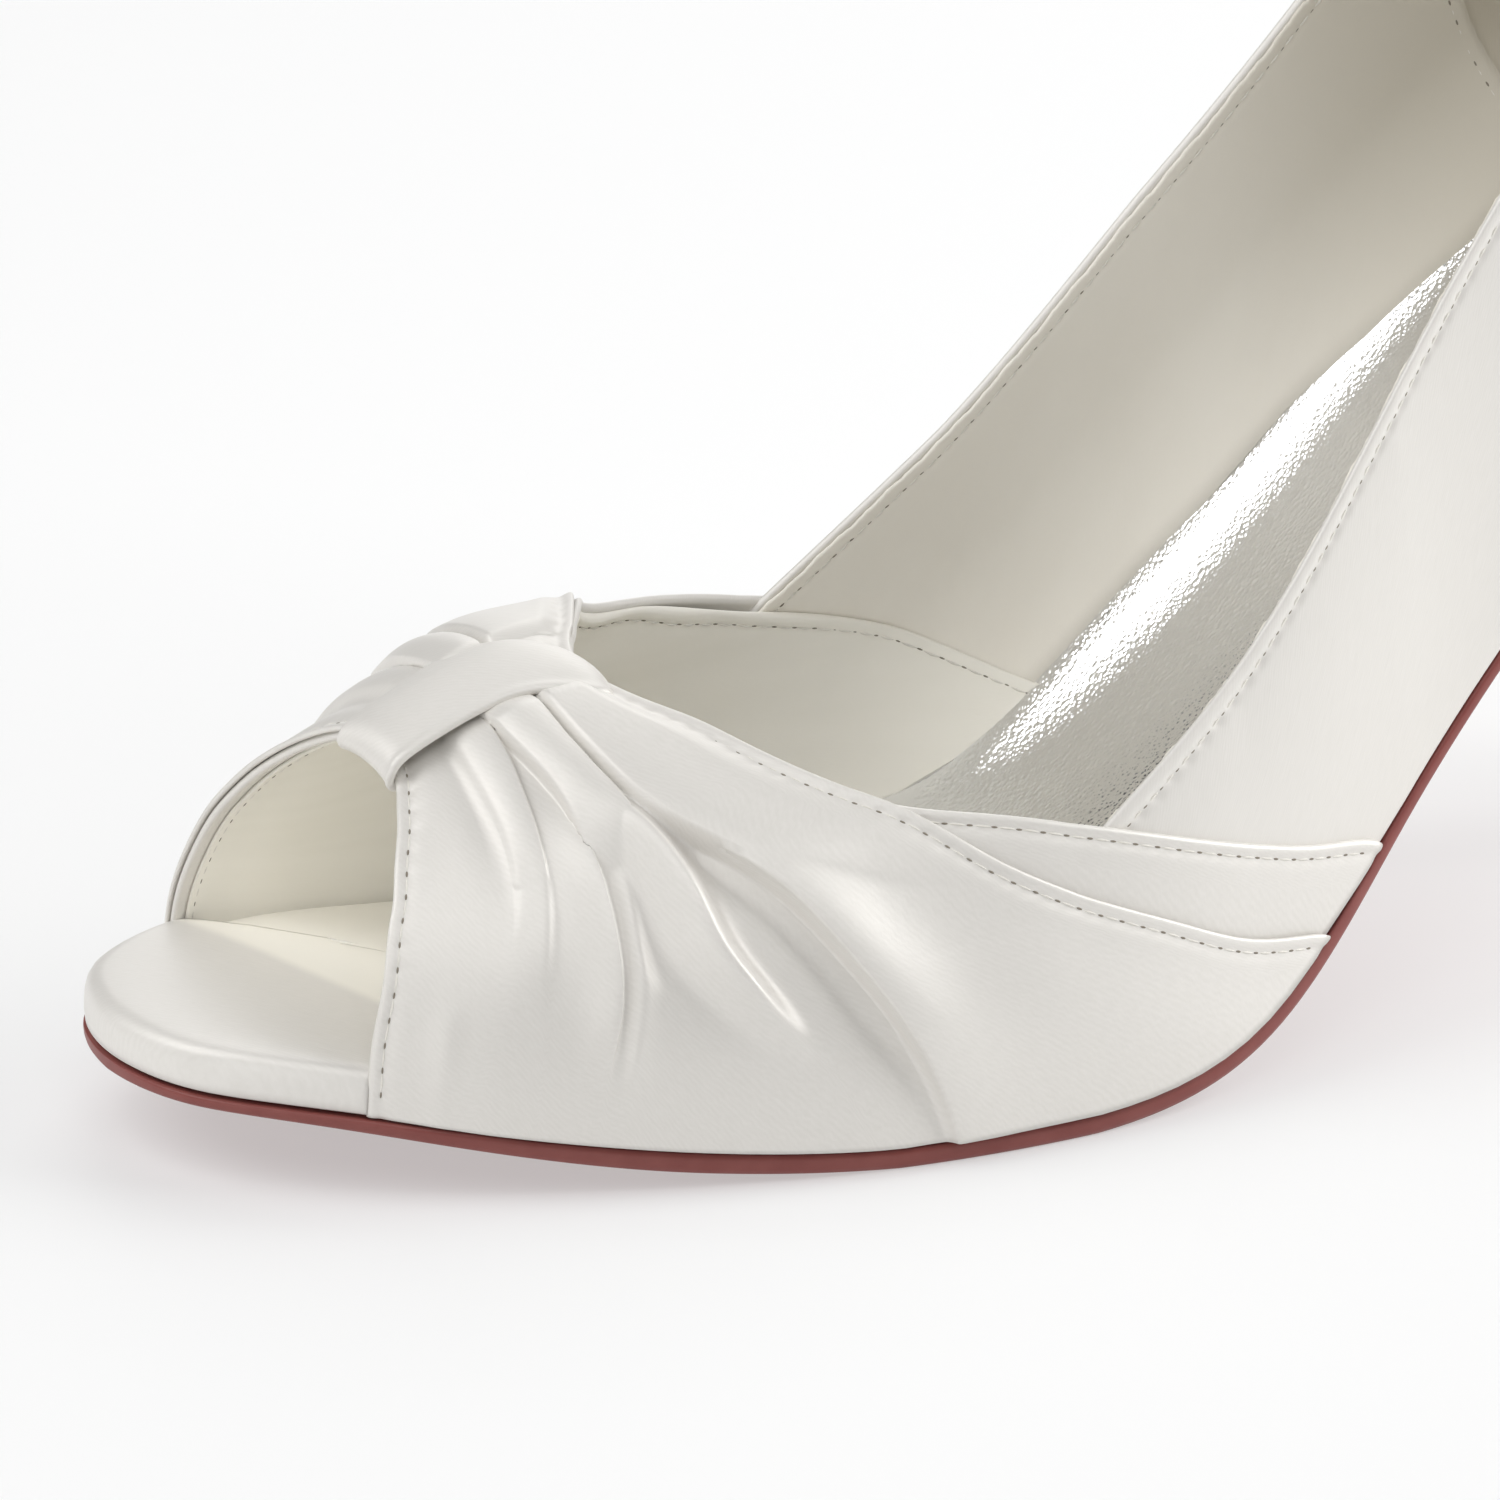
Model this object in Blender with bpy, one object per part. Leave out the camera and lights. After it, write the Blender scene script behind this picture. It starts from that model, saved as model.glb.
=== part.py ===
"""Open-toed satin court shoe for the left foot: a lasted upper with a pleated vamp drape gathered under a
knot band, a wrapped insole with a silver sock, a thin leather outsole and a slim covered heel.

The shoe stands on the floor at Z = 0 with its toe towards -Y and its outer (lateral) side towards +X.
Tables and sizes are in millimetres, and MM turns them to metres where a mesh is made."""

import bmesh
import bpy
import numpy as np

MM = 0.001

# Driving dimensions
LENGTH = 218.0  # toe tip to the back of the seat, measured along the floor
SEAT_ROUND = 191.0  # station where the round of the heel seat begins
BREAST = 173.0  # station of the heel's front face
SOLE_THICK = 2.2  # leather outsole at the tread
WAIST_THICK = 1.5  # leather outsole under the arch
TOE_SHARE = 0.5  # share of its thickness that the outsole keeps at the toe tip
TOE_SPRING_END = 45.0  # station from which it has its full thickness
ARCH_START, ARCH_FULL = 95.0, 125.0  # stations between which the outsole thins to its waist
SOLE_TOP_INSET, SOLE_TREAD_INSET = 0.2, 0.9  # the outsole's edge is bevelled in under the feather line
GAP = 0.3  # clearance between pieces that touch on the real shoe
TREAD_LEVEL = SOLE_THICK + GAP  # height of the feather line over the tread
COVER = 1.6  # layers that lie over the quarter's outer face, under the drape's own face
QUARTER_WALL = 1.3  # satin, stiffener and lining of the quarter
VAMP_PROUD = 0.7  # the vamp underlay stands this far over the quarter
VAMP_WALL = 2.7  # underlay, quarter's edge and vamp lining together
DRAPE_WALL = 0.6  # folded satin of the drape
INSOLE_THICK = 3.2  # board and cover
TOE_PAD = 4.6  # padded insole where it shows in the toe opening
PAD_FULL, PAD_END = 22.0, 62.0  # stations between which the toe padding thins out
STEP_IN_START, STEP_IN_END = 12.6, 15.2  # stations where the insole's edge steps inside the upper
VAMP_END, QUARTER_ALONE = 120.0, 132.0  # stations between which the insole widens behind the vamp's lining
INSOLE_BACK = 214.6  # station of the insole's back edge, inside the counter
EDGE_ROUND = 0.45  # share of its height that the insole and the sock lose at their rounded edges
EDGE_POWER = 6  # how close to the edge that round stays
SOCK_THICK = 1.3  # silver leather over thin foam
SOCK_FRONT = 76.0  # station of the sock's front edge
SOCK_BOW = 9.0  # the front corners lie this far behind the middle of that edge
SOCK_BACK = 213.0  # station of the sock's back edge
BAND_THICK = 0.8  # folded satin of the knot band
TIP_HEIGHT = 6.4  # top piece under the heel
TIP_TAPER = 0.06  # share by which the top piece narrows towards the floor
CROWN_POWER = 2.3  # roundness of a section towards its ridge
TOE_ROWS_POWER = 2.2  # how closely a mesh's rows crowd at the round toe
SHARP_ANGLE = 40.0  # degrees, an edge sharper than this is not shaded smooth
BACK_TURN = 90.0  # degrees round the back of the heel from a side to the middle
MID_STATION = LENGTH / 2  # middle of the shoe along the foot, taken as the origin

# Sections of the last, station by station from the toe tip. half_width is the feather line, bottom its height
# over the floor, crown the ridge over it, side_power how upright the wall leaves the feather line, and cover
# the layers there over the quarter's face.
LAST_COLUMNS = ("station", "centre", "half_width", "bottom", "crown", "side_power", "cover")
LAST_ROWS = (
    (0, -1.4, 0.0, 9.7, 23.2, 1.75, COVER),
    (2, -1.4, 10.4, 9.6, 23.7, 1.75, COVER),
    (6, -1.4, 16.2, 9.4, 24.4, 1.75, COVER),
    (13, -1.4, 22.0, 8.8, 25.6, 1.75, COVER),
    (25, -1.3, 28.9, 7.0, 29.4, 1.75, COVER),
    (43, -0.8, 35.3, 4.2, 38.2, 1.75, COVER),
    (63, -0.1, 39.6, 2.5, 46.0, 1.80, COVER),
    (83, 0.6, 40.0, 2.5, 56.0, 2.00, COVER),
    (103, 0.9, 36.4, 7.2, 67.6, 2.20, COVER),
    (123, 0.7, 28.8, 23.4, 78.0, 2.35, 0.0),
    (148, 0.3, 24.8, 48.3, 90.0, 2.40, 0.0),
    (173, 0.1, 24.8, 70.0, 96.0, 2.40, 0.0),
    (191, 0.0, 26.5, 80.9, 98.0, 2.40, 0.0),
    (218, 0.0, 27.0, 89.7, 98.0, 2.40, 0.0),
)

# Edge of the toe opening: rise is the sine of the angle up the section, 0 at the feather line and 1 on the
# ridge.
OPENING_COLUMNS = ("rise", "station")
OPENING_ROWS = (
    (0.00, 15.9),
    (0.10, 16.2),
    (0.20, 16.6),
    (0.30, 17.3),
    (0.42, 18.4),
    (0.53, 19.4),
    (0.61, 20.3),
    (0.67, 21.2),
    (0.79, 23.0),
    (0.86, 24.5),
    (0.90, 25.4),
    (0.94, 26.7),
    (1.00, 29.3),
)

# Back edges of the vamp: turn is the angle over the foot in degrees, from the outer feather line over the
# ridge to the inner one. The throat lies a little to the outer side of the ridge.
EDGE_COLUMNS = ("turn", "drape_back", "underlay")
EDGE_ROWS = (
    (0, 112.0, 119.5),
    (6, 101.5, 110.7),
    (11.5, 93.6, 103.7),
    (17.5, 85.1, 95.9),
    (25, 76.3, 85.4),
    (32, 70.8, 74.9),
    (37.5, 66.8, 67.2),
    (42, 63.1, 63.4),
    (52, 56.5, 56.6),
    (59, 53.1, 53.2),
    (64, 50.6, 50.7),
    (70, 48.4, 48.5),
    (77, 47.2, 47.2),
    (84, 47.8, 47.8),
    (90, 49.2, 49.2),
    (97, 51.0, 51.0),
    (104, 53.0, 53.2),
    (116, 56.4, 57.0),
    (128, 60.0, 61.0),
    (134, 63.0, 65.0),
    (140, 66.6, 71.0),
    (146, 71.0, 78.0),
    (152, 75.6, 86.0),
    (158, 81.5, 94.0),
    (168.5, 94.5, 106.0),
    (174, 102.0, 112.0),
    (180, 112.0, 118.5),
)

# Height of the quarter's top edge over the feather line, outer side and inner side.
TOPLINE_COLUMNS = ("station", "outer", "inner")
TOPLINE_ROWS = (
    (66, 13.0, 14.5),
    (78, 20.8, 24.0),
    (86.5, 26.8, 31.5),
    (98, 32.9, 40.0),
    (111, 37.2, 45.3),
    (124, 40.6, 47.6),
    (136, 43.6, 48.4),
    (148, 46.3, 49.2),
    (173, 50.6, 51.2),
    (191, 52.8, 53.0),
    (218, 55.5, 55.5),
)
QUARTER_TUCK = 9.0  # how far the quarter runs forward inside the vamp
TOPLINE_FRONT = 86.5  # station where the topline goes under the vamp
COUNTER_SHARE = 0.26  # share of the quarter's rows that go round the back of the heel

# Pleats of the drape on each side: where each crest runs, as stations at a rise up the section, its height,
# how fast it falls away in front and behind, and the rises between which it stands up.
PLEAT_COLUMNS = ("rise", "first", "second", "third", "rear")
PLEAT_ROWS = (
    (0.00, 29.0, 35.6, 57.5, 69.0),
    (0.16, 30.0, 36.3, 54.6, 65.6),
    (0.33, 31.0, 37.5, 50.5, 61.4),
    (0.50, 32.2, 38.3, 46.8, 56.4),
    (0.64, 33.3, 38.5, 45.0, 51.2),
    (0.78, 33.6, 38.2, 43.2, 48.0),
    (0.90, 33.6, 36.4, 41.4, 45.8),
    (1.00, 33.2, 35.2, 40.2, 44.4),
)
PLEAT_SIZES = ("height", "front_width", "back_width", "low_end", "high_end")
PLEATS = {
    "first": (1.3, 1.0, 1.5, 0.45, 1.10),
    "second": (1.6, 1.0, 2.6, 0.20, 1.10),
    "third": (2.0, 2.8, 1.2, 0.22, 1.10),
    "rear": (2.1, 1.2, 6.8, -0.20, 0.76),
}
GATHER = 0.4  # extra height where the pleats are drawn together under the knot
GATHER_START, GATHER_FULL = 0.80, 0.96  # rises between which they are drawn together
KNOT_PRESS = 0.7  # share of the pleats' own height that the knot presses out
PLEAT_FOOT = 1.6  # a crest's front foot lies this many front widths before it
PLEAT_FADE = 0.08  # rise over which a pleat dies out at its ends
PLEAT_AT_SOLE = 0.35  # share of its height that a pleat keeps where it is lasted under the foot
LASTED_RISE = 0.25  # rise up to which the lasting draws the pleats down
EDGE_SHARE = 0.10  # share of the drape at each stitched edge that lies flat
DRAPE_ROWS = 26  # rows of the drape's mesh from its front edge to its back edge
DRAPE_MARKS = (0, 7, 9, 12, 17, 19, 26)  # rows on the front edge, along the pleats and on the back edge

# Knot band, followed from the drape's front edge, over the ridge and down into the throat. share is 0 at the
# opening's edge and 1 at the throat's edge, turn and half_turn are its middle and half width in degrees over
# the foot.
BAND_COLUMNS = ("along", "share", "offset", "turn", "half_turn")
BAND_ROWS = (
    (0.00, -0.06, 0.2, 80.0, 8.8),
    (0.08, -0.09, 1.2, 80.0, 9.0),
    (0.15, -0.05, 2.3, 80.2, 9.2),
    (0.24, 0.06, 3.0, 81.5, 9.6),
    (0.50, 0.45, 3.2, 85.0, 10.6),
    (0.70, 0.84, 3.1, 80.5, 9.4),
    (0.77, 0.99, 2.8, 78.8, 9.2),
    (0.82, 1.07, 1.6, 78.0, 9.2),
    (0.87, 1.09, -0.4, 77.6, 9.0),
    (0.92, 1.05, -2.1, 77.4, 9.0),
    (0.96, 0.96, -2.7, 77.4, 9.0),
    (1.00, 0.86, -2.7, 77.4, 9.0),
)

# Heel block from the seat down: seat_share is how much a ring follows the seat's slope, level the height it
# settles to, then its front, widest and back stations, its half width and how square its front is.
HEEL_COLUMNS = ("seat_share", "level", "front", "middle", "back", "half_width", "front_power")
HEEL_ROWS = (
    (1.00, 0.0, BREAST, 191.0, 217.5, 26.0, 6.0),
    (0.82, 56.0, 174.4, 192.5, 216.9, 24.4, 4.5),
    (0.56, 57.0, 180.5, 195.5, 215.7, 20.0, 3.2),
    (0.33, 57.0, 187.5, 198.5, 214.2, 15.0, 2.5),
    (0.14, 52.0, 192.8, 201.3, 212.7, 10.8, 2.2),
    (0.00, 38.0, 195.8, 203.0, 211.3, 7.9, 2.0),
    (0.00, 21.0, 197.2, 203.4, 210.1, 6.2, 2.0),
    (0.00, TIP_HEIGHT + GAP, 197.8, 203.5, 209.3, 5.6, 2.0),
)
HEEL_INSET = 0.4  # the heel stands this far inside the feather line at the seat


def spline(x, y):
    """Natural cubic through the rows of a table, returned as a function."""
    x = np.asarray(x, float)
    y = np.asarray(y, float)
    step = np.diff(x)
    rows = np.eye(len(x))
    target = np.zeros(len(x))
    for i in range(1, len(x) - 1):
        rows[i, i - 1 : i + 2] = step[i - 1], 2 * (step[i - 1] + step[i]), step[i]
        target[i] = 6 * ((y[i + 1] - y[i]) / step[i] - (y[i] - y[i - 1]) / step[i - 1])
    bend = np.linalg.solve(rows, target)

    def at(where):
        where = min(max(where, x[0]), x[-1])
        i = min(max(int(np.searchsorted(x, where)) - 1, 0), len(x) - 2)
        u, v, h = where - x[i], x[i + 1] - where, step[i]
        curved = (bend[i] * v**3 + bend[i + 1] * u**3) / (6 * h)
        return curved + (y[i] / h - bend[i] * h / 6) * v + (y[i + 1] / h - bend[i + 1] * h / 6) * u

    return at


def column(names, rows, name, power=1):
    """One column of a table as a smooth function of its first column."""
    picked = names.index(name)
    return spline([row[0] for row in rows], [row[picked] ** power for row in rows])


def smooth_step(low, high, value):
    share = min(max((value - low) / (high - low), 0.0), 1.0)
    return share * share * (3 - 2 * share)


centre = column(LAST_COLUMNS, LAST_ROWS, "centre")
half_width_squared = column(LAST_COLUMNS, LAST_ROWS, "half_width", 2)
last_bottom = column(LAST_COLUMNS, LAST_ROWS, "bottom")
crown = column(LAST_COLUMNS, LAST_ROWS, "crown")
side_power = column(LAST_COLUMNS, LAST_ROWS, "side_power")
cover_column = column(LAST_COLUMNS, LAST_ROWS, "cover")
opening_edge = column(OPENING_COLUMNS, OPENING_ROWS, "station")
drape_back_edge = column(EDGE_COLUMNS, EDGE_ROWS, "drape_back")
underlay_back_edge = column(EDGE_COLUMNS, EDGE_ROWS, "underlay")
topline_outer = column(TOPLINE_COLUMNS, TOPLINE_ROWS, "outer")
topline_inner = column(TOPLINE_COLUMNS, TOPLINE_ROWS, "inner")
pleat_line = {name: column(PLEAT_COLUMNS, PLEAT_ROWS, name) for name in PLEAT_COLUMNS[1:]}


def half_width(station):
    return max(half_width_squared(station), 0.0) ** 0.5


def bottom(station):
    """Height of the feather line over the floor, level over the tread."""
    return max(last_bottom(station), TREAD_LEVEL)


def cover(station):
    return min(max(cover_column(station), 0.0), COVER)


def outline(station, inset):
    """Half width of the bottom in plan, set in by an amount, with the round of the seat."""
    if station <= SEAT_ROUND:
        return max(half_width(station) - inset, 0.0)
    share = (station - SEAT_ROUND) / (LENGTH - SEAT_ROUND - inset)
    return (half_width(SEAT_ROUND) - inset) * max(1 - share * share, 0.0) ** 0.5


def below(station, depth):
    """Station and height of a point at a depth under the feather line, square to the bottom."""
    slope = bottom(station + 0.5) - bottom(station - 0.5)
    length = (1 + slope * slope) ** 0.5
    return station + slope * depth / length, bottom(station) - depth / length


def wall(station, angle, offset):
    """A point of the lasted wall: angle 0 is the outer feather line, 90 degrees the ridge and 180 degrees the
    inner feather line. offset 0 is the quarter's outer face. Beyond SEAT_ROUND the station counts degrees
    round the back of the heel."""
    turn = np.radians(max(station - SEAT_ROUND, 0.0))
    foot = min(station, SEAT_ROUND)
    over = offset - cover(foot)
    width = half_width(foot) + over
    depth = LENGTH - SEAT_ROUND + over
    reach = 1 / np.hypot(np.cos(turn) / width, np.sin(turn) / depth)
    across = abs(np.cos(angle)) ** (2 / side_power(foot)) * np.sign(np.cos(angle))
    up = max(np.sin(angle), 0.0) ** (2 / CROWN_POWER)
    x = centre(foot) + across * reach * np.cos(turn)
    y = foot + abs(across) * reach * np.sin(turn)
    return x, y, bottom(foot + reach * np.sin(turn)) + (crown(foot) + over) * up


def material(name, colour, roughness, metallic=0.0):
    made = bpy.data.materials.new(name)
    made.use_nodes = True
    shader = made.node_tree.nodes["Principled BSDF"]
    shader.inputs["Base Color"].default_value = (*colour, 1.0)
    shader.inputs["Roughness"].default_value = roughness
    shader.inputs["Metallic"].default_value = metallic
    return made


def finish(name, mesh, look):
    """Turns a closed bmesh in millimetres about the toe into a named object about the origin, in metres."""
    bmesh.ops.remove_doubles(mesh, verts=mesh.verts, dist=1e-4)
    bmesh.ops.recalc_face_normals(mesh, faces=mesh.faces)
    bmesh.ops.translate(mesh, verts=mesh.verts, vec=(0.0, -MID_STATION, 0.0))
    bmesh.ops.scale(mesh, verts=mesh.verts, vec=(MM, MM, MM))
    data = bpy.data.meshes.new(name)
    mesh.to_mesh(data)
    mesh.free()
    data.shade_smooth()
    data.set_sharp_from_angle(angle=np.radians(SHARP_ANGLE))
    data.materials.append(look)
    made = bpy.data.objects.new(name, data)
    bpy.context.scene.collection.objects.link(made)
    return made


def block(name, across, along, place, look):
    """A grid extruded to a closed block, each corner put where place(u, v, w) says, all three from 0 to 1."""
    mesh = bmesh.new()
    bmesh.ops.create_grid(mesh, x_segments=across, y_segments=along, size=0.5)
    raised = bmesh.ops.extrude_face_region(mesh, geom=mesh.faces[:])["geom"]
    lifted = [part for part in raised if isinstance(part, bmesh.types.BMVert)]
    bmesh.ops.translate(mesh, verts=lifted, vec=(0.0, 0.0, 1.0))
    for vert in mesh.verts:
        vert.co = place(vert.co.x + 0.5, vert.co.y + 0.5, vert.co.z)
    return finish(name, mesh, look)


def turned(name, around, along, place, look):
    """A grid rolled into a tube, each corner put where place(u, v) says, its two ends filled."""
    mesh = bmesh.new()
    bmesh.ops.create_grid(mesh, x_segments=around, y_segments=along, size=0.5)
    for vert in mesh.verts:
        vert.co = place(vert.co.x + 0.5, vert.co.y + 0.5)
    bmesh.ops.remove_doubles(mesh, verts=mesh.verts, dist=1e-4)
    rims = [edge for edge in mesh.edges if edge.is_boundary]
    bmesh.ops.holes_fill(mesh, edges=rims, sides=0)
    return finish(name, mesh, look)


def toe_first(v, first, last):
    """A station from first to last, with rows close together at the round toe."""
    return first + (last - first) * v**TOE_ROWS_POWER


def outsole(look):
    """Thin leather sole with a bevelled edge, from the toe to the heel breast, level under the tread."""

    def place(u, v, w):
        station = toe_first(v, SOLE_TOP_INSET, BREAST - 2 * GAP)
        thick = SOLE_THICK + (WAIST_THICK - SOLE_THICK) * smooth_step(ARCH_START, ARCH_FULL, station)
        thick *= TOE_SHARE + (1 - TOE_SHARE) * smooth_step(0.0, TOE_SPRING_END, station)
        inset = SOLE_TOP_INSET if w else SOLE_TREAD_INSET
        y, z = below(station, GAP if w else GAP + thick)
        x = centre(station) + (2 * u - 1) * outline(station, inset)
        return x, y, max(z, 0.0)

    return block("outsole", 8, 34, place, look)


def insole_top(station):
    return INSOLE_THICK + (TOE_PAD - INSOLE_THICK) * (1 - smooth_step(PAD_FULL, PAD_END, station))


def insole_inset(station):
    """The insole fills the toe, and lies inside the wall from the toe opening back."""
    behind_vamp = smooth_step(VAMP_END, QUARTER_ALONE, station)
    wall_face = VAMP_WALL - VAMP_PROUD + (QUARTER_WALL - VAMP_WALL + VAMP_PROUD) * behind_vamp
    inside = cover(station) + wall_face + 2 * GAP
    return SOLE_TOP_INSET + (inside - SOLE_TOP_INSET) * smooth_step(STEP_IN_START, STEP_IN_END, station)


def insole(look):
    """Board that the upper is lasted over, its padded toe domed and rounded at the edge."""

    def place(u, v, w):
        station = toe_first(v, SOLE_TOP_INSET, INSOLE_BACK)
        side = np.sin(np.pi * (u - 0.5))
        x = centre(station) + side * outline(station, insole_inset(station) + GAP * w)
        round_off = EDGE_ROUND * abs(side) ** EDGE_POWER * w
        y, z = below(station, -w * insole_top(station) * (1 - round_off))
        return x, y, z

    return block("insole", 10, 34, place, look)


def sock(look):
    """Silver pad on the insole from the ball to the seat, its front edge bowed forwards."""

    def place(u, v, w):
        side = np.sin(np.pi * (u - 0.5))
        front = SOCK_FRONT + SOCK_BOW * side * side
        station = front + (SOCK_BACK - front) * v
        height = insole_top(station) + GAP + w * SOCK_THICK * (1 - EDGE_ROUND * abs(side) ** EDGE_POWER)
        x = centre(station) + side * outline(station, insole_inset(station) + GAP * (3 + w))
        y, z = below(station, -height)
        return x, y, z

    return block("sock", 8, 28, place, look)


def vamp_angle(u):
    """Angle up the section from the inner feather line, u = 0, over the ridge to the outer one, u = 1."""
    return np.pi * (1 - u)


def underlay_edge(angle):
    """Station of the underlay's back edge, lower on the outer side."""
    return underlay_back_edge(np.degrees(angle))


def vamp_underlay(look):
    """The lasted vamp under the drape, from the toe opening to the edge band that crosses the quarter."""

    def place(u, v, w):
        angle = vamp_angle(u)
        front = opening_edge(np.sin(angle))
        station = front + (underlay_edge(angle) - front) * v
        return wall(station, angle, VAMP_PROUD - (1 - w) * VAMP_WALL)

    return block("upper", 34, 12, place, look)


def quarter(look):
    """The quarters and counter in one strip from the outer side round the heel to the inner side. Its front
    ends run inside the vamp."""

    def topline_angle(station, inner):
        if station <= SEAT_ROUND:
            height = topline_inner(station) if inner else topline_outer(station)
        else:
            height = topline_inner(SEAT_ROUND + (LENGTH - SEAT_ROUND) * (station - SEAT_ROUND) / BACK_TURN)
        share = height / crown(min(station, SEAT_ROUND))
        return np.arcsin(share ** (CROWN_POWER / 2))

    def place(u, v, w):
        inner = u > 0.5
        along = 1 - abs(2 * u - 1)
        if along <= 1 - COUNTER_SHARE:
            front_angle = np.arcsin(v * np.sin(topline_angle(TOPLINE_FRONT, inner)))
            front = underlay_edge(np.pi - front_angle if inner else front_angle) - QUARTER_TUCK
            station = front + (SEAT_ROUND - front) * along / (1 - COUNTER_SHARE)
        else:
            station = SEAT_ROUND + BACK_TURN * (along - 1 + COUNTER_SHARE) / COUNTER_SHARE
        angle = np.arcsin(v * np.sin(topline_angle(station, inner)))
        return wall(station, np.pi - angle if inner else angle, -(1 - w) * QUARTER_WALL)

    return block("quarter", 54, 5, place, look)


def upper(look):
    """Vamp underlay and quarters as one hollow wall, with the underlay's edge as a step on both faces."""
    whole = vamp_underlay(look)
    strip = quarter(look)
    strip.hide_render = True
    strip.display_type = "WIRE"
    join = whole.modifiers.new("quarters", "BOOLEAN")
    join.operation = "UNION"
    join.solver = "EXACT"
    join.object = strip
    return whole


def pleat_lift(station, rise):
    """How far the drape's pleats lift it at a station and a rise up the section."""
    lift = 0.0
    for name, (height, front_width, back_width, low_end, high_end) in PLEATS.items():
        away = station - pleat_line[name](rise)
        width = front_width if away < 0 else back_width
        stands = smooth_step(low_end - PLEAT_FADE, low_end + PLEAT_FADE, rise)
        stands *= 1 - smooth_step(high_end - PLEAT_FADE, high_end + PLEAT_FADE, rise)
        lift = max(lift, height * stands * np.exp(-((away / width) ** 2)))
    lasted = PLEAT_AT_SOLE + (1 - PLEAT_AT_SOLE) * smooth_step(0.0, LASTED_RISE, rise)
    return lift * lasted


def drape_station(angle, v):
    """Station across the drape from its front edge, v = 0, to its back edge, v = 1. Rows of the mesh lie
    along the pleats, so that their crests stay clean."""
    rise = np.sin(angle)
    second, third, rear = (pleat_line[name](rise) for name in ("second", "third", "rear"))
    sharp = PLEATS["rear"][PLEAT_SIZES.index("front_width")]
    front, back = opening_edge(rise) + GAP, drape_back_edge(np.degrees(angle)) - GAP
    marks = (front, second, (second + third) / 2, third, rear - PLEAT_FOOT * sharp, rear, back)
    return float(np.interp(v * DRAPE_ROWS, DRAPE_MARKS, marks))


def vamp_drape(look):
    """Outermost satin layer of the vamp, lifted into pleats that run from the knot to the feather line."""

    def place(u, v, w):
        angle = vamp_angle(u)
        rise = np.sin(angle)
        edge_fade = smooth_step(0.0, EDGE_SHARE, v) * (1 - smooth_step(1 - EDGE_SHARE, 1.0, v))
        gathered = smooth_step(GATHER_START, GATHER_FULL, rise)
        station = drape_station(angle, v)
        lift = (pleat_lift(station, rise) * (1 - KNOT_PRESS * gathered) + GATHER * gathered) * edge_fade
        return wall(station, angle, VAMP_PROUD + GAP + w * DRAPE_WALL + lift)

    return block("vamp_drape", 36, DRAPE_ROWS, place, look)


def knot_band(look):
    """Narrow satin band round the gathered pleats, from their front edge over the ridge into the throat."""
    share_at = column(BAND_COLUMNS, BAND_ROWS, "share")
    offset_at = column(BAND_COLUMNS, BAND_ROWS, "offset")
    turn_at = column(BAND_COLUMNS, BAND_ROWS, "turn")
    half_turn_at = column(BAND_COLUMNS, BAND_ROWS, "half_turn")

    def path(u, v):
        turn = turn_at(v) + (0.5 - u) * 2 * half_turn_at(v)
        front = opening_edge(np.sin(np.radians(turn)))
        station = front + (drape_back_edge(turn) - front) * share_at(v)
        return np.array(wall(station, np.radians(turn), offset_at(v)))

    def place(u, v, w):
        here = path(u, v)
        run = path(u, min(v + 0.01, 1.0)) - path(u, max(v - 0.01, 0.0))
        out = np.array((0.0, -run[2], run[1]))
        return here + w * BAND_THICK * out / np.linalg.norm(out)

    return block("knot_band", 8, 26, place, look)


def heel_ring(row, turn):
    """One point of a heel ring: turn goes once round from the back."""
    _, _, front, middle, back, half, front_power = row
    ahead, side = np.cos(turn), np.sin(turn)
    power = 2.0 if ahead >= 0 else front_power
    reach = back - middle if ahead >= 0 else middle - front
    station = middle + reach * np.sign(ahead) * abs(ahead) ** (2 / power)
    return half * np.sign(side) * abs(side) ** (2 / power), station


def heel(look):
    """Slim covered heel: the seat's outline at the top, drawn in under a curved breast to the stem."""

    def place(u, v):
        row = HEEL_ROWS[round(v * (len(HEEL_ROWS) - 1))]
        x, station = heel_ring(row, 2 * np.pi * u)
        if row[0] == 1.0:
            x = float(np.clip(x, -outline(station, HEEL_INSET), outline(station, HEEL_INSET)))
        seat = bottom(station) - GAP
        return x, station, row[0] * seat + (1 - row[0]) * row[1]

    return turned("heel", 32, len(HEEL_ROWS) - 1, place, look)


def top_piece(look):
    """Tread cap under the heel, a little smaller at the floor."""

    def place(u, v):
        x, station = heel_ring(HEEL_ROWS[-1], 2 * np.pi * u)
        middle = HEEL_ROWS[-1][HEEL_COLUMNS.index("middle")]
        taper = 1 - TIP_TAPER * v
        return x * taper, middle + (station - middle) * taper, TIP_HEIGHT * (1 - v)

    return turned("top_piece", 32, 1, place, look)


def main():
    for thing in list(bpy.data.objects):
        bpy.data.objects.remove(thing, do_unlink=True)
    satin = material("ivory_satin", (0.83, 0.80, 0.74), 0.42)
    drape_satin = material("ivory_satin_drape", (0.84, 0.81, 0.75), 0.40)
    lining = material("cream_insole", (0.80, 0.76, 0.68), 0.50)
    silver = material("silver_leather", (0.78, 0.78, 0.77), 0.28, 1.0)
    sole_leather = material("rust_leather", (0.22, 0.065, 0.055), 0.45)
    rubber = material("top_piece_rubber", (0.62, 0.58, 0.50), 0.60)
    outsole(sole_leather)
    insole(lining)
    sock(silver)
    upper(satin)
    vamp_drape(drape_satin)
    knot_band(drape_satin)
    heel(satin)
    top_piece(rubber)


main()
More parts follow.
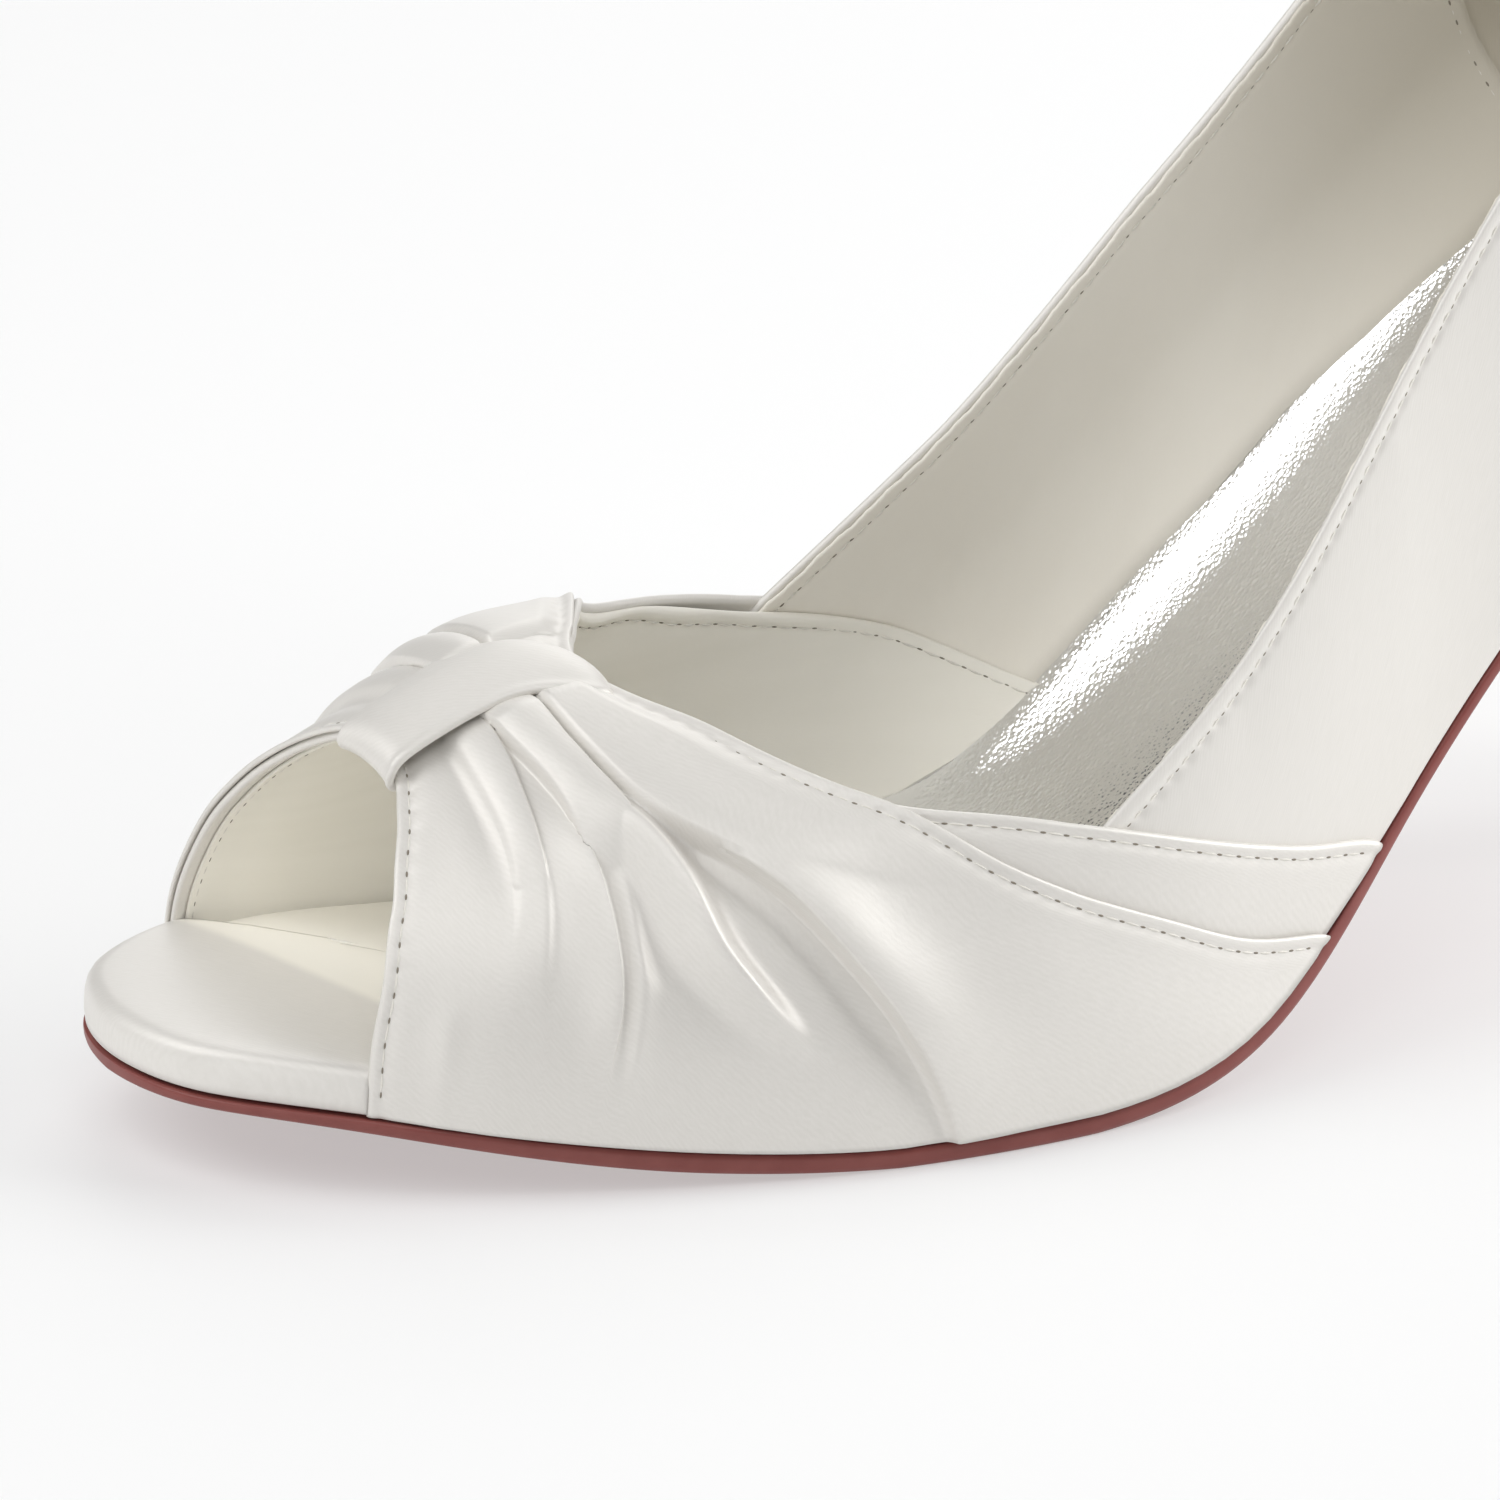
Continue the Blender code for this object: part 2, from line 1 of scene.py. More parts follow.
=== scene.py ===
# %% [markdown]
# # An ivory satin wedding shoe
# The shoe is an open-toed court shoe for the left foot. Its satin upper is drawn over a wooden last,
# pleated over the toes and held by a knot band, and it stands on a thin rust-red sole and a slim covered
# heel. This lesson dresses the shoe's plain solids: it loads them as a fixed frame, and then makes each
# layer that a shoemaker would sew or glue, with its real thickness, folded edges and stitches.

import bmesh
import bpy
import numpy as np
from mathutils import Matrix, Vector


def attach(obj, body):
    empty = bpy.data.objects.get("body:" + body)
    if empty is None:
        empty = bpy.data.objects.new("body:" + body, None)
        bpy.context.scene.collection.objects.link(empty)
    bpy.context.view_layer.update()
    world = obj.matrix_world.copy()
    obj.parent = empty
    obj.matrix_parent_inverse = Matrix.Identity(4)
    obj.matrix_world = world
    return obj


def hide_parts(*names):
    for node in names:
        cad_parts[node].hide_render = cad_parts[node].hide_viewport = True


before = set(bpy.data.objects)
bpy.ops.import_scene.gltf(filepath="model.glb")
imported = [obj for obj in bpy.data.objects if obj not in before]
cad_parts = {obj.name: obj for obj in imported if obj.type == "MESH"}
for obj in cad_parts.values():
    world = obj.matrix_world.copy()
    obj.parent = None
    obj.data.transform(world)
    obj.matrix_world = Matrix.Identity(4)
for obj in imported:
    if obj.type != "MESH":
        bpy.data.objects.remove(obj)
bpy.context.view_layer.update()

print("solids loaded:", ", ".join(sorted(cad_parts)))

# %% [markdown]
# ## The last
# Every layer of a shoe takes its shape from the last, so every piece here is laid on the same surface. The
# last is a short table of sections, and a smooth curve through each column fills in what lies between. A
# section is a rounded arch: an angle of 0 is the outer edge of the sole (the feather line), 90 degrees the
# ridge and 180 degrees the inner feather line. Tables are in millimetres from the tip of the toe, as a
# pattern cutter works.

# %% Curves through the columns of a table
MM = 0.001
LENGTH = 218.0  # toe tip to the back of the seat, along the floor
SEAT_ROUND = 191.0  # station where the round of the heel seat begins
BREAST = 173.0  # station of the heel's front face
GAP = 0.3  # clearance between pieces that touch
SOLE_THICK, WAIST_THICK = 2.2, 1.5  # outsole at the tread and under the arch
TREAD_LEVEL = SOLE_THICK + GAP  # the feather line's height over the tread
COVER = 1.6  # layers that lie over the quarter's face on the forepart
CROWN_POWER = 2.3  # roundness of a section towards its ridge


def spline(x, y):
    """Natural cubic through the rows of a table, as a function that takes arrays."""
    x = np.asarray(x, float)
    y = np.asarray(y, float)
    step = np.diff(x)
    rows = np.eye(len(x))
    target = np.zeros(len(x))
    for i in range(1, len(x) - 1):
        rows[i, i - 1 : i + 2] = step[i - 1], 2 * (step[i - 1] + step[i]), step[i]
        target[i] = 6 * ((y[i + 1] - y[i]) / step[i] - (y[i] - y[i - 1]) / step[i - 1])
    bend = np.linalg.solve(rows, target)

    def at(where):
        where = np.clip(where, x[0], x[-1])
        i = np.clip(np.searchsorted(x, where) - 1, 0, len(x) - 2)
        u, v, h = where - x[i], x[i + 1] - where, step[i]
        curved = (bend[i] * v**3 + bend[i + 1] * u**3) / (6 * h)
        return curved + (y[i] / h - bend[i] * h / 6) * v + (y[i + 1] / h - bend[i + 1] * h / 6) * u

    return at


def columns_of(names, rows):
    """Every column of a table as a smooth function of its first column, by name."""
    table = np.array(rows, float)
    return {name: spline(table[:, 0], table[:, i]) for i, name in enumerate(names) if i}


def smooth_step(low, high, value):
    share = np.clip((np.asarray(value, float) - low) / (high - low), 0.0, 1.0)
    return share * share * (3 - 2 * share)


# %% The last's sections
LAST = columns_of(
    ("station", "centre", "half_width_squared", "bottom", "crown", "side_power", "cover"),
    [
        (station, middle, half * half, level, ridge, upright, layers)
        for station, middle, half, level, ridge, upright, layers in (
            (0, -1.4, 0.0, 9.7, 23.2, 1.75, COVER),
            (2, -1.4, 10.4, 9.6, 23.7, 1.75, COVER),
            (6, -1.4, 16.2, 9.4, 24.4, 1.75, COVER),
            (13, -1.4, 22.0, 8.8, 25.6, 1.75, COVER),
            (25, -1.3, 28.9, 7.0, 29.4, 1.75, COVER),
            (43, -0.8, 35.3, 4.2, 38.2, 1.75, COVER),
            (63, -0.1, 39.6, 2.5, 46.0, 1.80, COVER),
            (83, 0.6, 40.0, 2.5, 56.0, 2.00, COVER),
            (103, 0.9, 36.4, 7.2, 67.6, 2.20, COVER),
            (123, 0.7, 28.8, 23.4, 78.0, 2.35, 0.0),
            (148, 0.3, 24.8, 48.3, 90.0, 2.40, 0.0),
            (173, 0.1, 24.8, 70.0, 96.0, 2.40, 0.0),
            (191, 0.0, 26.5, 80.9, 98.0, 2.40, 0.0),
            (218, 0.0, 27.0, 89.7, 98.0, 2.40, 0.0),
        )
    ],
)


def half_width(station):
    return np.sqrt(np.maximum(LAST["half_width_squared"](station), 0.0))


def bottom(station):
    """Height of the feather line over the floor, level over the tread."""
    return np.maximum(LAST["bottom"](station), TREAD_LEVEL)


def cover(station):
    return np.clip(LAST["cover"](station), 0.0, COVER)


def outline(station, inset):
    """Half width of the bottom in plan, set in by an amount, with the round of the seat."""
    straight = np.maximum(half_width(np.minimum(station, SEAT_ROUND)) - inset, 0.0)
    share = np.clip((station - SEAT_ROUND) / (LENGTH - SEAT_ROUND - inset), 0.0, 1.0)
    return straight * np.sqrt(1 - share * share)


def below(station, depth):
    """Station and height of a point at a depth under the feather line, square to the bottom."""
    slope = bottom(station + 0.5) - bottom(station - 0.5)
    length = np.hypot(1, slope)
    return station + slope * depth / length, bottom(station) - depth / length


def lasted(station, angle, offset):
    """A point of the lasted wall. offset 0 is the quarter's outer face, and beyond SEAT_ROUND the station
    counts degrees round the back of the heel."""
    station, angle, offset = np.broadcast_arrays(station, angle, offset)
    turn = np.radians(np.maximum(station - SEAT_ROUND, 0.0))
    foot = np.minimum(station, SEAT_ROUND)
    over = offset - cover(foot)
    width = half_width(foot) + over
    depth = LENGTH - SEAT_ROUND + over
    reach = 1 / np.hypot(np.cos(turn) / width, np.sin(turn) / depth)
    across = np.abs(np.cos(angle)) ** (2 / LAST["side_power"](foot)) * np.sign(np.cos(angle))
    up = np.maximum(np.sin(angle), 0.0) ** (2 / CROWN_POWER)
    x = LAST["centre"](foot) + across * reach * np.cos(turn)
    y = foot + np.abs(across) * reach * np.sin(turn)
    z = bottom(foot + reach * np.sin(turn)) + (LAST["crown"](foot) + over) * up
    return np.stack((x, y, z), -1)


print(f"last: {LENGTH:.0f} mm along the floor, {2 * half_width(83):.0f} mm wide at the ball")

# %% [markdown]
# ## Camera
# The photo looks at the shoe's outer side from a little over it, with a long lens, so lines stay nearly
# parallel. The camera's direction, distance and aim were found by matching the sole's edge, the toe opening
# and the toplines. A camera looks along its own -Z, so its axes are worked out from the direction and the
# roll.

# %% Place the camera
CAMERA_AZIMUTH, CAMERA_ELEVATION, CAMERA_ROLL = np.radians((63.31, 19.09, -0.83))
CAMERA_DISTANCE = 0.940
CAMERA_AIM = np.array((-0.0167, -0.0333, 0.0225))
SENSOR = 36.0
LENS = 229.9

back = np.array(
    (
        np.sin(CAMERA_AZIMUTH) * np.cos(CAMERA_ELEVATION),
        -np.cos(CAMERA_AZIMUTH) * np.cos(CAMERA_ELEVATION),
        np.sin(CAMERA_ELEVATION),
    )
)
level_right = np.array((np.cos(CAMERA_AZIMUTH), np.sin(CAMERA_AZIMUTH), 0.0))
level_up = np.cross(back, level_right)
right = level_right * np.cos(CAMERA_ROLL) + level_up * np.sin(CAMERA_ROLL)
up = np.cross(back, right)

lens = bpy.data.cameras.new("camera")
lens.lens = LENS
lens.sensor_width = SENSOR
camera = bpy.data.objects.new("camera", lens)
camera.matrix_world = Matrix.Translation(CAMERA_AIM + CAMERA_DISTANCE * back) @ Matrix(
    np.column_stack((right, up, back)).tolist()
).to_4x4()
bpy.context.scene.collection.objects.link(camera)
bpy.context.scene.camera = camera
print(f"camera: {CAMERA_DISTANCE * 1000:.0f} mm away with a {LENS:.0f} mm lens")

# %% [markdown]
# ## How a layer is made
# Each layer of satin or leather has two faces and a turned edge. Its mesh is a flat grid that is rolled up:
# the rows run once round the layer's section, over the outer face, round the folded edge, back along the
# inner face and round the other edge. The grid's own corners give u along the layer and the row, and a
# function places them on the last. The UV map keeps each corner's distance along the cloth in millimetres,
# so that a weave lies on the piece as it was cut, and isn't stretched over it.

# %% Helpers that make a mesh
def to_scene(points):
    """Millimetres from the toe tip to metres about the middle of the shoe."""
    return (np.asarray(points) - (0.0, LENGTH / 2, 0.0)) * MM


def grid_mesh(columns, rows, place):
    """A grid whose corners go where place(u, row) says, with the cloth's own sizes in its UV map."""
    mesh = bmesh.new()
    bmesh.ops.create_grid(mesh, x_segments=columns, y_segments=rows, size=0.5)
    flat = np.array([vert.co[:2] for vert in mesh.verts]) + 0.5
    points = place(flat[:, 0], np.rint(flat[:, 1] * rows).astype(int))
    spread = points.reshape(rows + 1, columns + 1, 3)
    along = np.zeros((rows + 1, columns + 1))
    across = np.zeros((rows + 1, columns + 1))
    along[:, 1:] = np.cumsum(np.linalg.norm(np.diff(spread, axis=1), axis=2), axis=1)
    across[1:] = np.cumsum(np.linalg.norm(np.diff(spread, axis=0), axis=2), axis=0)
    along -= along[:, columns // 2][:, None]
    cut = np.stack((along.ravel(), across.ravel()), -1)
    cloth = mesh.loops.layers.uv.new("cloth")
    for face in mesh.faces:
        for loop in face.loops:
            loop[cloth].uv = cut[loop.vert.index]
    for vert, point in zip(mesh.verts, to_scene(points)):
        vert.co = point
    return mesh


def finish_piece(name, mesh, looks, node=None, merge=2e-6):
    """Closes the seams of a bmesh, turns its faces outwards and makes it a piece of the shoe."""
    bmesh.ops.remove_doubles(mesh, verts=mesh.verts, dist=merge)
    rims = [edge for edge in mesh.edges if edge.is_boundary]
    if rims:
        bmesh.ops.holes_fill(mesh, edges=rims, sides=0)
    bmesh.ops.recalc_face_normals(mesh, faces=mesh.faces)
    data = bpy.data.meshes.new(name)
    mesh.to_mesh(data)
    mesh.free()
    data.shade_smooth()
    data.materials.append(looks)
    piece = bpy.data.objects.new(name, data)
    bpy.context.scene.collection.objects.link(piece)
    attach(piece, "root")
    if node:
        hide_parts(node)
    data.calc_loop_triangles()
    print(f"{name}: {len(data.loop_triangles)} triangles")
    return piece


def section_rows(marks, radius, turn_rows=6, inner_step=1):
    """Rows once round a layer: out along the marks, round the back edge, back along them, round the front.
    The hidden inner face may keep only every inner_step-th mark."""
    half_turn = np.linspace(0, np.pi, turn_rows + 1)[1:-1]
    turn = np.sin(half_turn) * radius
    drop = (1 - np.cos(half_turn)) * radius
    first, last = marks[0], marks[-1]
    rows = [(mark, 0.0, 0.0, 0.0) for mark in marks]
    rows += [(last, 0.0, t, d) for t, d in zip(turn, drop)]
    rows += [(mark, 0.0, 0.0, 2 * radius) for mark in (*marks[:0:-inner_step], first)]
    rows += [(first, -t, 0.0, d) for t, d in zip(turn, drop[::-1])]
    return np.array(rows)


def layer(name, columns, rows, place, looks, node=None):
    """A rolled layer: place(u, row) gets arrays, with a row's own values one after the other."""

    def put(u, index):
        return place(u, rows[index % len(rows)].T)

    return finish_piece(name, grid_mesh(columns, len(rows), put), looks, node)


def between(marks, at):
    """Reads a list of arrays at a fractional index, one value for each corner."""
    marks = np.array(marks)
    low = np.clip(np.floor(at).astype(int), 0, len(marks) - 2)
    corner = np.arange(marks.shape[1])
    return marks[low, corner] + (at - low) * (marks[low + 1, corner] - marks[low, corner])


# %% [markdown]
# ## Materials
# Colours are written as they look on screen and turned to linear light by one function. One small function
# adds a node, sets it and links it. Weaves and grain read the cloth's own UV map, which is in millimetres,
# so a pattern's scale is one over its real size.

# %% Colour and node helpers
def linear(hex_colour):
    """A screen colour such as #EDE9E2 as linear red, green, blue and alpha."""
    screen = [int(hex_colour[i : i + 2], 16) / 255 for i in (1, 3, 5)]
    return *(c / 12.92 if c <= 0.04045 else ((c + 0.055) / 1.055) ** 2.4 for c in screen), 1.0


def in_use(sockets, name):
    """The socket of that name that the node's settings leave in use."""
    return next(socket for socket in sockets if socket.name == name and socket.enabled)


def add_node(tree, kind, **settings):
    """Adds a node. Lower-case settings are its options, and the others sockets, linked if given an output."""
    node = tree.nodes.new(kind)
    for name, value in settings.items():
        if name[0].islower():
            setattr(node, name, value)
    for name, value in settings.items():
        if name[0].isupper():
            socket = in_use(node.inputs, name.replace("_", " "))
            if isinstance(value, bpy.types.NodeSocket):
                tree.links.new(value, socket)
            else:
                socket.default_value = value
    return node


def new_material(name, **settings):
    """A material with its node tree and its Principled shader, whose sockets are set by name."""
    made = bpy.data.materials.new(name)
    made.use_nodes = True
    shader = made.node_tree.nodes["Principled BSDF"]
    for socket, value in settings.items():
        shader.inputs[socket.replace("_", " ")].default_value = value
    return made, made.node_tree, shader


def on_cloth(tree):
    """The place on the cut cloth, in millimetres."""
    return add_node(tree, "ShaderNodeUVMap", uv_map="cloth").outputs["UV"]


def on_shoe(tree):
    """The place on the shoe, in metres about its middle."""
    return add_node(tree, "ShaderNodeTexCoord").outputs["Object"]


def mix_colours(tree, share, first, second):
    """The output of a mix of two colours, each a screen colour or another node's output."""
    first, second = (linear(one) if isinstance(one, str) else one for one in (first, second))
    mixed = add_node(tree, "ShaderNodeMix", data_type="RGBA", Factor=share, A=first, B=second)
    return in_use(mixed.outputs, "Result")


def mottle(tree, shader, place, size, detail, shade, light):
    """Lets a noise of a size change the shader's colour. Returns the noise and the colour."""
    noise = add_node(tree, "ShaderNodeTexNoise", Scale=1 / size, Detail=detail, Vector=place).outputs["Fac"]
    colour = mix_colours(tree, noise, shade, light)
    tree.links.new(colour, shader.inputs["Base Color"])
    return noise, colour


def emboss(tree, shader, height, strength, depth, **settings):
    """Gives the shader a fine relief, its depth in millimetres, from a node's output."""
    bump = add_node(tree, "ShaderNodeBump", Strength=strength, Distance=depth * MM, Height=height, **settings)
    tree.links.new(bump.outputs["Normal"], shader.inputs["Normal"])


def fade_along(tree, direction, start, end, **settings):
    """Goes from 0 to 1 between two stations, measured along a direction over the shoe."""
    along = add_node(tree, "ShaderNodeVectorMath", operation="DOT_PRODUCT")
    tree.links.new(on_shoe(tree), along.inputs[0])
    along.inputs[1].default_value = direction
    fade = add_node(
        tree,
        "ShaderNodeMapRange",
        Value=along.outputs["Value"],
        From_Min=(start - LENGTH / 2) * MM,
        From_Max=(end - LENGTH / 2) * MM,
        **settings,
    )
    return fade.outputs["Result"]


# %% [markdown]
# ### Ivory duchess satin
# Duchess satin is a heavy cloth whose long floating threads give it a soft, broad sheen. Its fine diagonal
# twill shows where the light grazes it. A wave texture turned on the cut gives the ribs and a fine noise
# the uneven threads. Both make the relief and a slight change of tone, because a float and a binding thread
# don't reflect alike.

# %% Satin
WAVE_PERIOD = np.pi / 10  # a wave texture repeats after this length at scale 1
TWILL = 0.40  # mm between ribs, drawn coarser than the real 0.2 mm so that they show
SLUB, SLUB_RUN = 0.25, 1.6  # mm, width and length of an uneven thread
TWILL_TURN = np.radians(52)  # the ribs' angle on the cut
RELIEF = 0.016  # mm, height of the ribs


def satin_weave(tree, shader, cloth, light, shade):
    """Links twill ribs and uneven threads to the shader's colour and relief. Returns the colour."""
    turned = add_node(tree, "ShaderNodeMapping", Rotation=(0, 0, TWILL_TURN), Vector=cloth).outputs["Vector"]
    ribs = add_node(
        tree,
        "ShaderNodeTexWave",
        Scale=WAVE_PERIOD / TWILL,
        Distortion=5.0,
        Detail=3.0,
        Detail_Scale=1.5,
        Vector=turned,
    )
    drawn_out = add_node(
        tree, "ShaderNodeMapping", Scale=(1 / SLUB, 1 / SLUB_RUN, 1 / SLUB_RUN), Vector=turned
    )
    threads = add_node(tree, "ShaderNodeTexNoise", Scale=1.0, Detail=3.0, Vector=drawn_out.outputs["Vector"])
    weave = add_node(
        tree, "ShaderNodeMix", Factor=0.8, A=ribs.outputs["Fac"], B=threads.outputs["Fac"]
    ).outputs["Result"]
    colour = mix_colours(tree, weave, shade, light)
    tree.links.new(colour, shader.inputs["Base Color"])
    emboss(tree, shader, weave, 0.5, RELIEF)
    return colour


ivory_satin, tree, shader = new_material(
    "ivory_duchess_satin", Metallic=0.2, Roughness=0.46, Sheen_Weight=0.1, Sheen_Roughness=0.4
)
satin_weave(tree, shader, on_cloth(tree), "#E9E6E1", "#DEDBD5")
print("satin: ribs every", TWILL, "mm")

# %% [markdown]
# ### Cream lining leather
# The lining is thin split leather with a smooth finish. It is warmer and duller than the satin, with faint
# clouding and almost no grain, so a large soft noise changes its tone and a fine one gives a little relief.
# The vamp's lining is painted paler than the quarters': painted light inside the toe and the vamp. From the
# waist to the heel the quarters' lining is painted darker, as painted shade in the deep heel. At the heel the
# quarters' lining is turned flesh side out, so that the heel doesn't slip, and that suede grip is a darker
# tone behind a slanting seam.

# %% Linings
CLOUD = 14.0  # mm, faint clouding of the finish
PORE = 0.5  # mm, grain of the split
GRIP_SLANT, GRIP_LINE = 0.43, 196.8  # mm: the grip starts where station + slant x height passes the line
SHADE_START = 150.0  # painted shade: the lining is painted darker from this line to the grip
SEAM_BLUR = 0.1  # mm on each side of the seam over which the tone changes


def lining_leather(name, light, shade):
    """A lining material. Returns its tree, its shader and its clouded colour too."""
    made, tree, shader = new_material(name, Roughness=0.5, Specular_IOR_Level=0.35)
    cloth = on_cloth(tree)
    colour = mottle(tree, shader, cloth, CLOUD, 3.0, shade, light)[1]
    pores = add_node(tree, "ShaderNodeTexNoise", Scale=1 / PORE, Detail=2.0, Vector=cloth)
    emboss(tree, shader, pores.outputs["Fac"], 0.25, 0.04)
    return made, tree, shader, colour


# The vamp lining's colours are painted paler than the quarters': painted light inside the toe and the vamp.
vamp_skin_painted_light = lining_leather("vamp_lining_painted_paler", "#FAF7EE", "#F3F0E6")[0]
quarter_skin, tree, shader, skin_colour = lining_leather("cream_quarter_lining", "#F3EFE5", "#ECE7DC")
slanted = (0.0, 1.0, GRIP_SLANT)
painted_shade = fade_along(tree, slanted, SHADE_START, GRIP_LINE, interpolation_type="SMOOTHSTEP")
grip = fade_along(tree, slanted, GRIP_LINE - SEAM_BLUR, GRIP_LINE + SEAM_BLUR)
# The first mix is painted shade, darker towards the heel; the second is the suede grip's own tone.
for share, colour in ((painted_shade, "#D2CCBE"), (grip, "#BDB6A6")):
    skin_colour = mix_colours(tree, share, skin_colour, colour)
tree.links.new(skin_colour, shader.inputs["Base Color"])
print("linings: clouds of", CLOUD, "mm")

# %% [markdown]
# ### Satin-wrapped insole
# At the toe the insole board is padded and wrapped in the same satin. Further back it goes under the cream
# lining, whose pale tone there is partly painted light: the warm light that the cream walls throw onto the
# board. One material does both: the distance from the toe, read from Object coordinates, fades the satin's
# colour into that pale cream.

# %% Wrapped insole
WRAP_END, LINING_START = 23.0, 25.6  # stations between which the satin gives way to the lining's pale cream, partly painted light
WRAP_SLANT = 0.3  # the wrap reaches further back on the outer side
insole_satin, tree, shader = new_material(
    "satin_wrapped_insole", Metallic=0.12, Roughness=0.42, Sheen_Weight=0.1, Sheen_Roughness=0.4
)
in_mm = add_node(tree, "ShaderNodeMapping", Scale=(1 / MM, 1 / MM, 1 / MM), Vector=on_shoe(tree))
satin_colour = satin_weave(tree, shader, in_mm.outputs["Vector"], "#E9E6E1", "#DFDCD6")
behind = fade_along(
    tree, (-WRAP_SLANT, 1.0, 0.0), WRAP_END, LINING_START, interpolation_type="SMOOTHSTEP"
)
# The pale cream is the lining's colour and partly painted light: warm light thrown from the cream walls onto
# the board.
tree.links.new(mix_colours(tree, behind, satin_colour, "#F8F5EC"), shader.inputs["Base Color"])
print(f"insole: satin to {WRAP_END:.0f} mm, lining from {LINING_START:.0f} mm behind the toe")

# %% [markdown]
# ### Silver sock leather
# The sock is soft kid coated with silver foil and stamped with a pebble grain. The foil makes it a metal to
# the eye, and the pebbles break its reflections into bright and dark specks.

# %% Silver leather
PEBBLE = 0.46  # mm across a pebble
silver_kid, tree, shader = new_material("silver_foil_kid", Metallic=1.0, Roughness=0.16)
shader.inputs["Base Color"].default_value = linear("#F2F3F5")
cloth = on_cloth(tree)
pebbles = add_node(
    tree, "ShaderNodeTexVoronoi", feature="SMOOTH_F1", Scale=1 / PEBBLE, Smoothness=0.12, Vector=cloth
)
creases = add_node(tree, "ShaderNodeTexNoise", Scale=0.6 / PEBBLE, Detail=3.0, Vector=cloth)
stamped = add_node(
    tree, "ShaderNodeMix", Factor=0.08, A=pebbles.outputs["Distance"], B=creases.outputs["Fac"]
)
emboss(tree, shader, stamped.outputs["Result"], 0.7, 0.08, invert=True)
print("silver: pebbles of", PEBBLE, "mm")

# %% [markdown]
# ### Rust-red sole leather
# The sole's edge is trimmed, stained rust red and waxed. It is nearly even in colour, with a faint mottle
# where the fibres took up more stain.

# %% Sole leather
STAIN = 3.0  # mm, mottle of the stain
rust_leather, tree, shader = new_material("rust_stained_sole_leather", Roughness=0.42, Specular_IOR_Level=0.4)
stain = mottle(tree, shader, on_shoe(tree), STAIN * MM, 4.0, "#7A3A36", "#8E504A")[0]
emboss(tree, shader, stain, 0.2, 0.05)
print("sole: stain mottled over", STAIN, "mm")

# %% [markdown]
# ### Sewing thread and heel rubber
# The thread is bonded polyester in the satin's ivory, a little glossy. The heel's top piece is dense
# rubber, matt and slightly speckled.

# %% Thread and rubber
TWIST, SPECK = 0.3, 0.6  # mm, the thread's twist and the rubber's specks
ivory_thread, tree, shader = new_material("ivory_sewing_thread", Roughness=0.45, Sheen_Weight=0.2)
mottle(tree, shader, on_shoe(tree), TWIST * MM, 2.0, "#DDD9CF", "#EFECE5")

# A dark ball at each needle hole is painted shade for the shadow in the hole.
hole_shadow_look, tree, shader = new_material("needle_hole_shadow", Roughness=1.0, Specular_IOR_Level=0.0)
shader.inputs["Base Color"].default_value = linear("#8A8377")

heel_rubber, tree, shader = new_material("heel_top_rubber", Roughness=0.7, Specular_IOR_Level=0.3)
mottle(tree, shader, on_shoe(tree), SPECK * MM, 3.0, "#BDB6A6", "#D2CCBE")
print("materials:", len(bpy.data.materials))

# %% [markdown]
# ## Outsole
# A thin leather sole with a trimmed, slightly bevelled edge runs from the toe to the heel's breast, level
# under the ball and curved up the arch. It could be an extruded outline, but its edge turns under and its
# thickness falls off at the waist, so it is a rolled grid whose rows go once round the sole's section.

# %% Outsole
ARCH_START, ARCH_FULL = 95.0, 125.0  # stations between which the sole thins to the waist
TOE_SHARE, TOE_SPRING_END = 0.5, 45.0  # the sole is skived thinner towards the tip of the toe
TOE_CROWDING = 2.2  # power that draws the columns together at the round toe
SOLE_EDGE = (  # inset in mm, share of the depth
    (0.35, 0.0),
    (0.1, 0.08),
    (0.05, 0.3),
    (0.2, 0.7),
    (0.5, 0.92),
    (0.95, 1.0),
)
SOLE_ACROSS = np.linspace(-1, 1, 11)

sole_rows = [(side, *SOLE_EDGE[0]) for side in SOLE_ACROSS]
sole_rows += [(1.0, *edge) for edge in SOLE_EDGE[1:-1]]
sole_rows += [(side, *SOLE_EDGE[-1]) for side in SOLE_ACROSS[::-1]]
sole_rows += [(-1.0, *edge) for edge in SOLE_EDGE[-2:0:-1]]


def place_sole(u, row):
    side, inset, depth = row
    station = (BREAST - 2 * GAP) * u**TOE_CROWDING
    thick = SOLE_THICK + (WAIST_THICK - SOLE_THICK) * smooth_step(ARCH_START, ARCH_FULL, station)
    thick = thick * (TOE_SHARE + (1 - TOE_SHARE) * smooth_step(0.0, TOE_SPRING_END, station))
    y, z = below(station, GAP + depth * thick)
    x = LAST["centre"](station) + side * outline(station, inset)
    return np.stack((x, y, np.maximum(z, 0.0)), -1)


layer("outsole_leather", 220, np.array(sole_rows), place_sole, rust_leather, "outsole")

# %% [markdown]
# ## Insole
# The insole board carries the foot. Its toe shows in the opening, padded and wrapped in satin with a
# rounded edge. Rings that follow the board's outline, each set further in and a little higher, make the
# side, the rounded edge and the domed top in one grid.

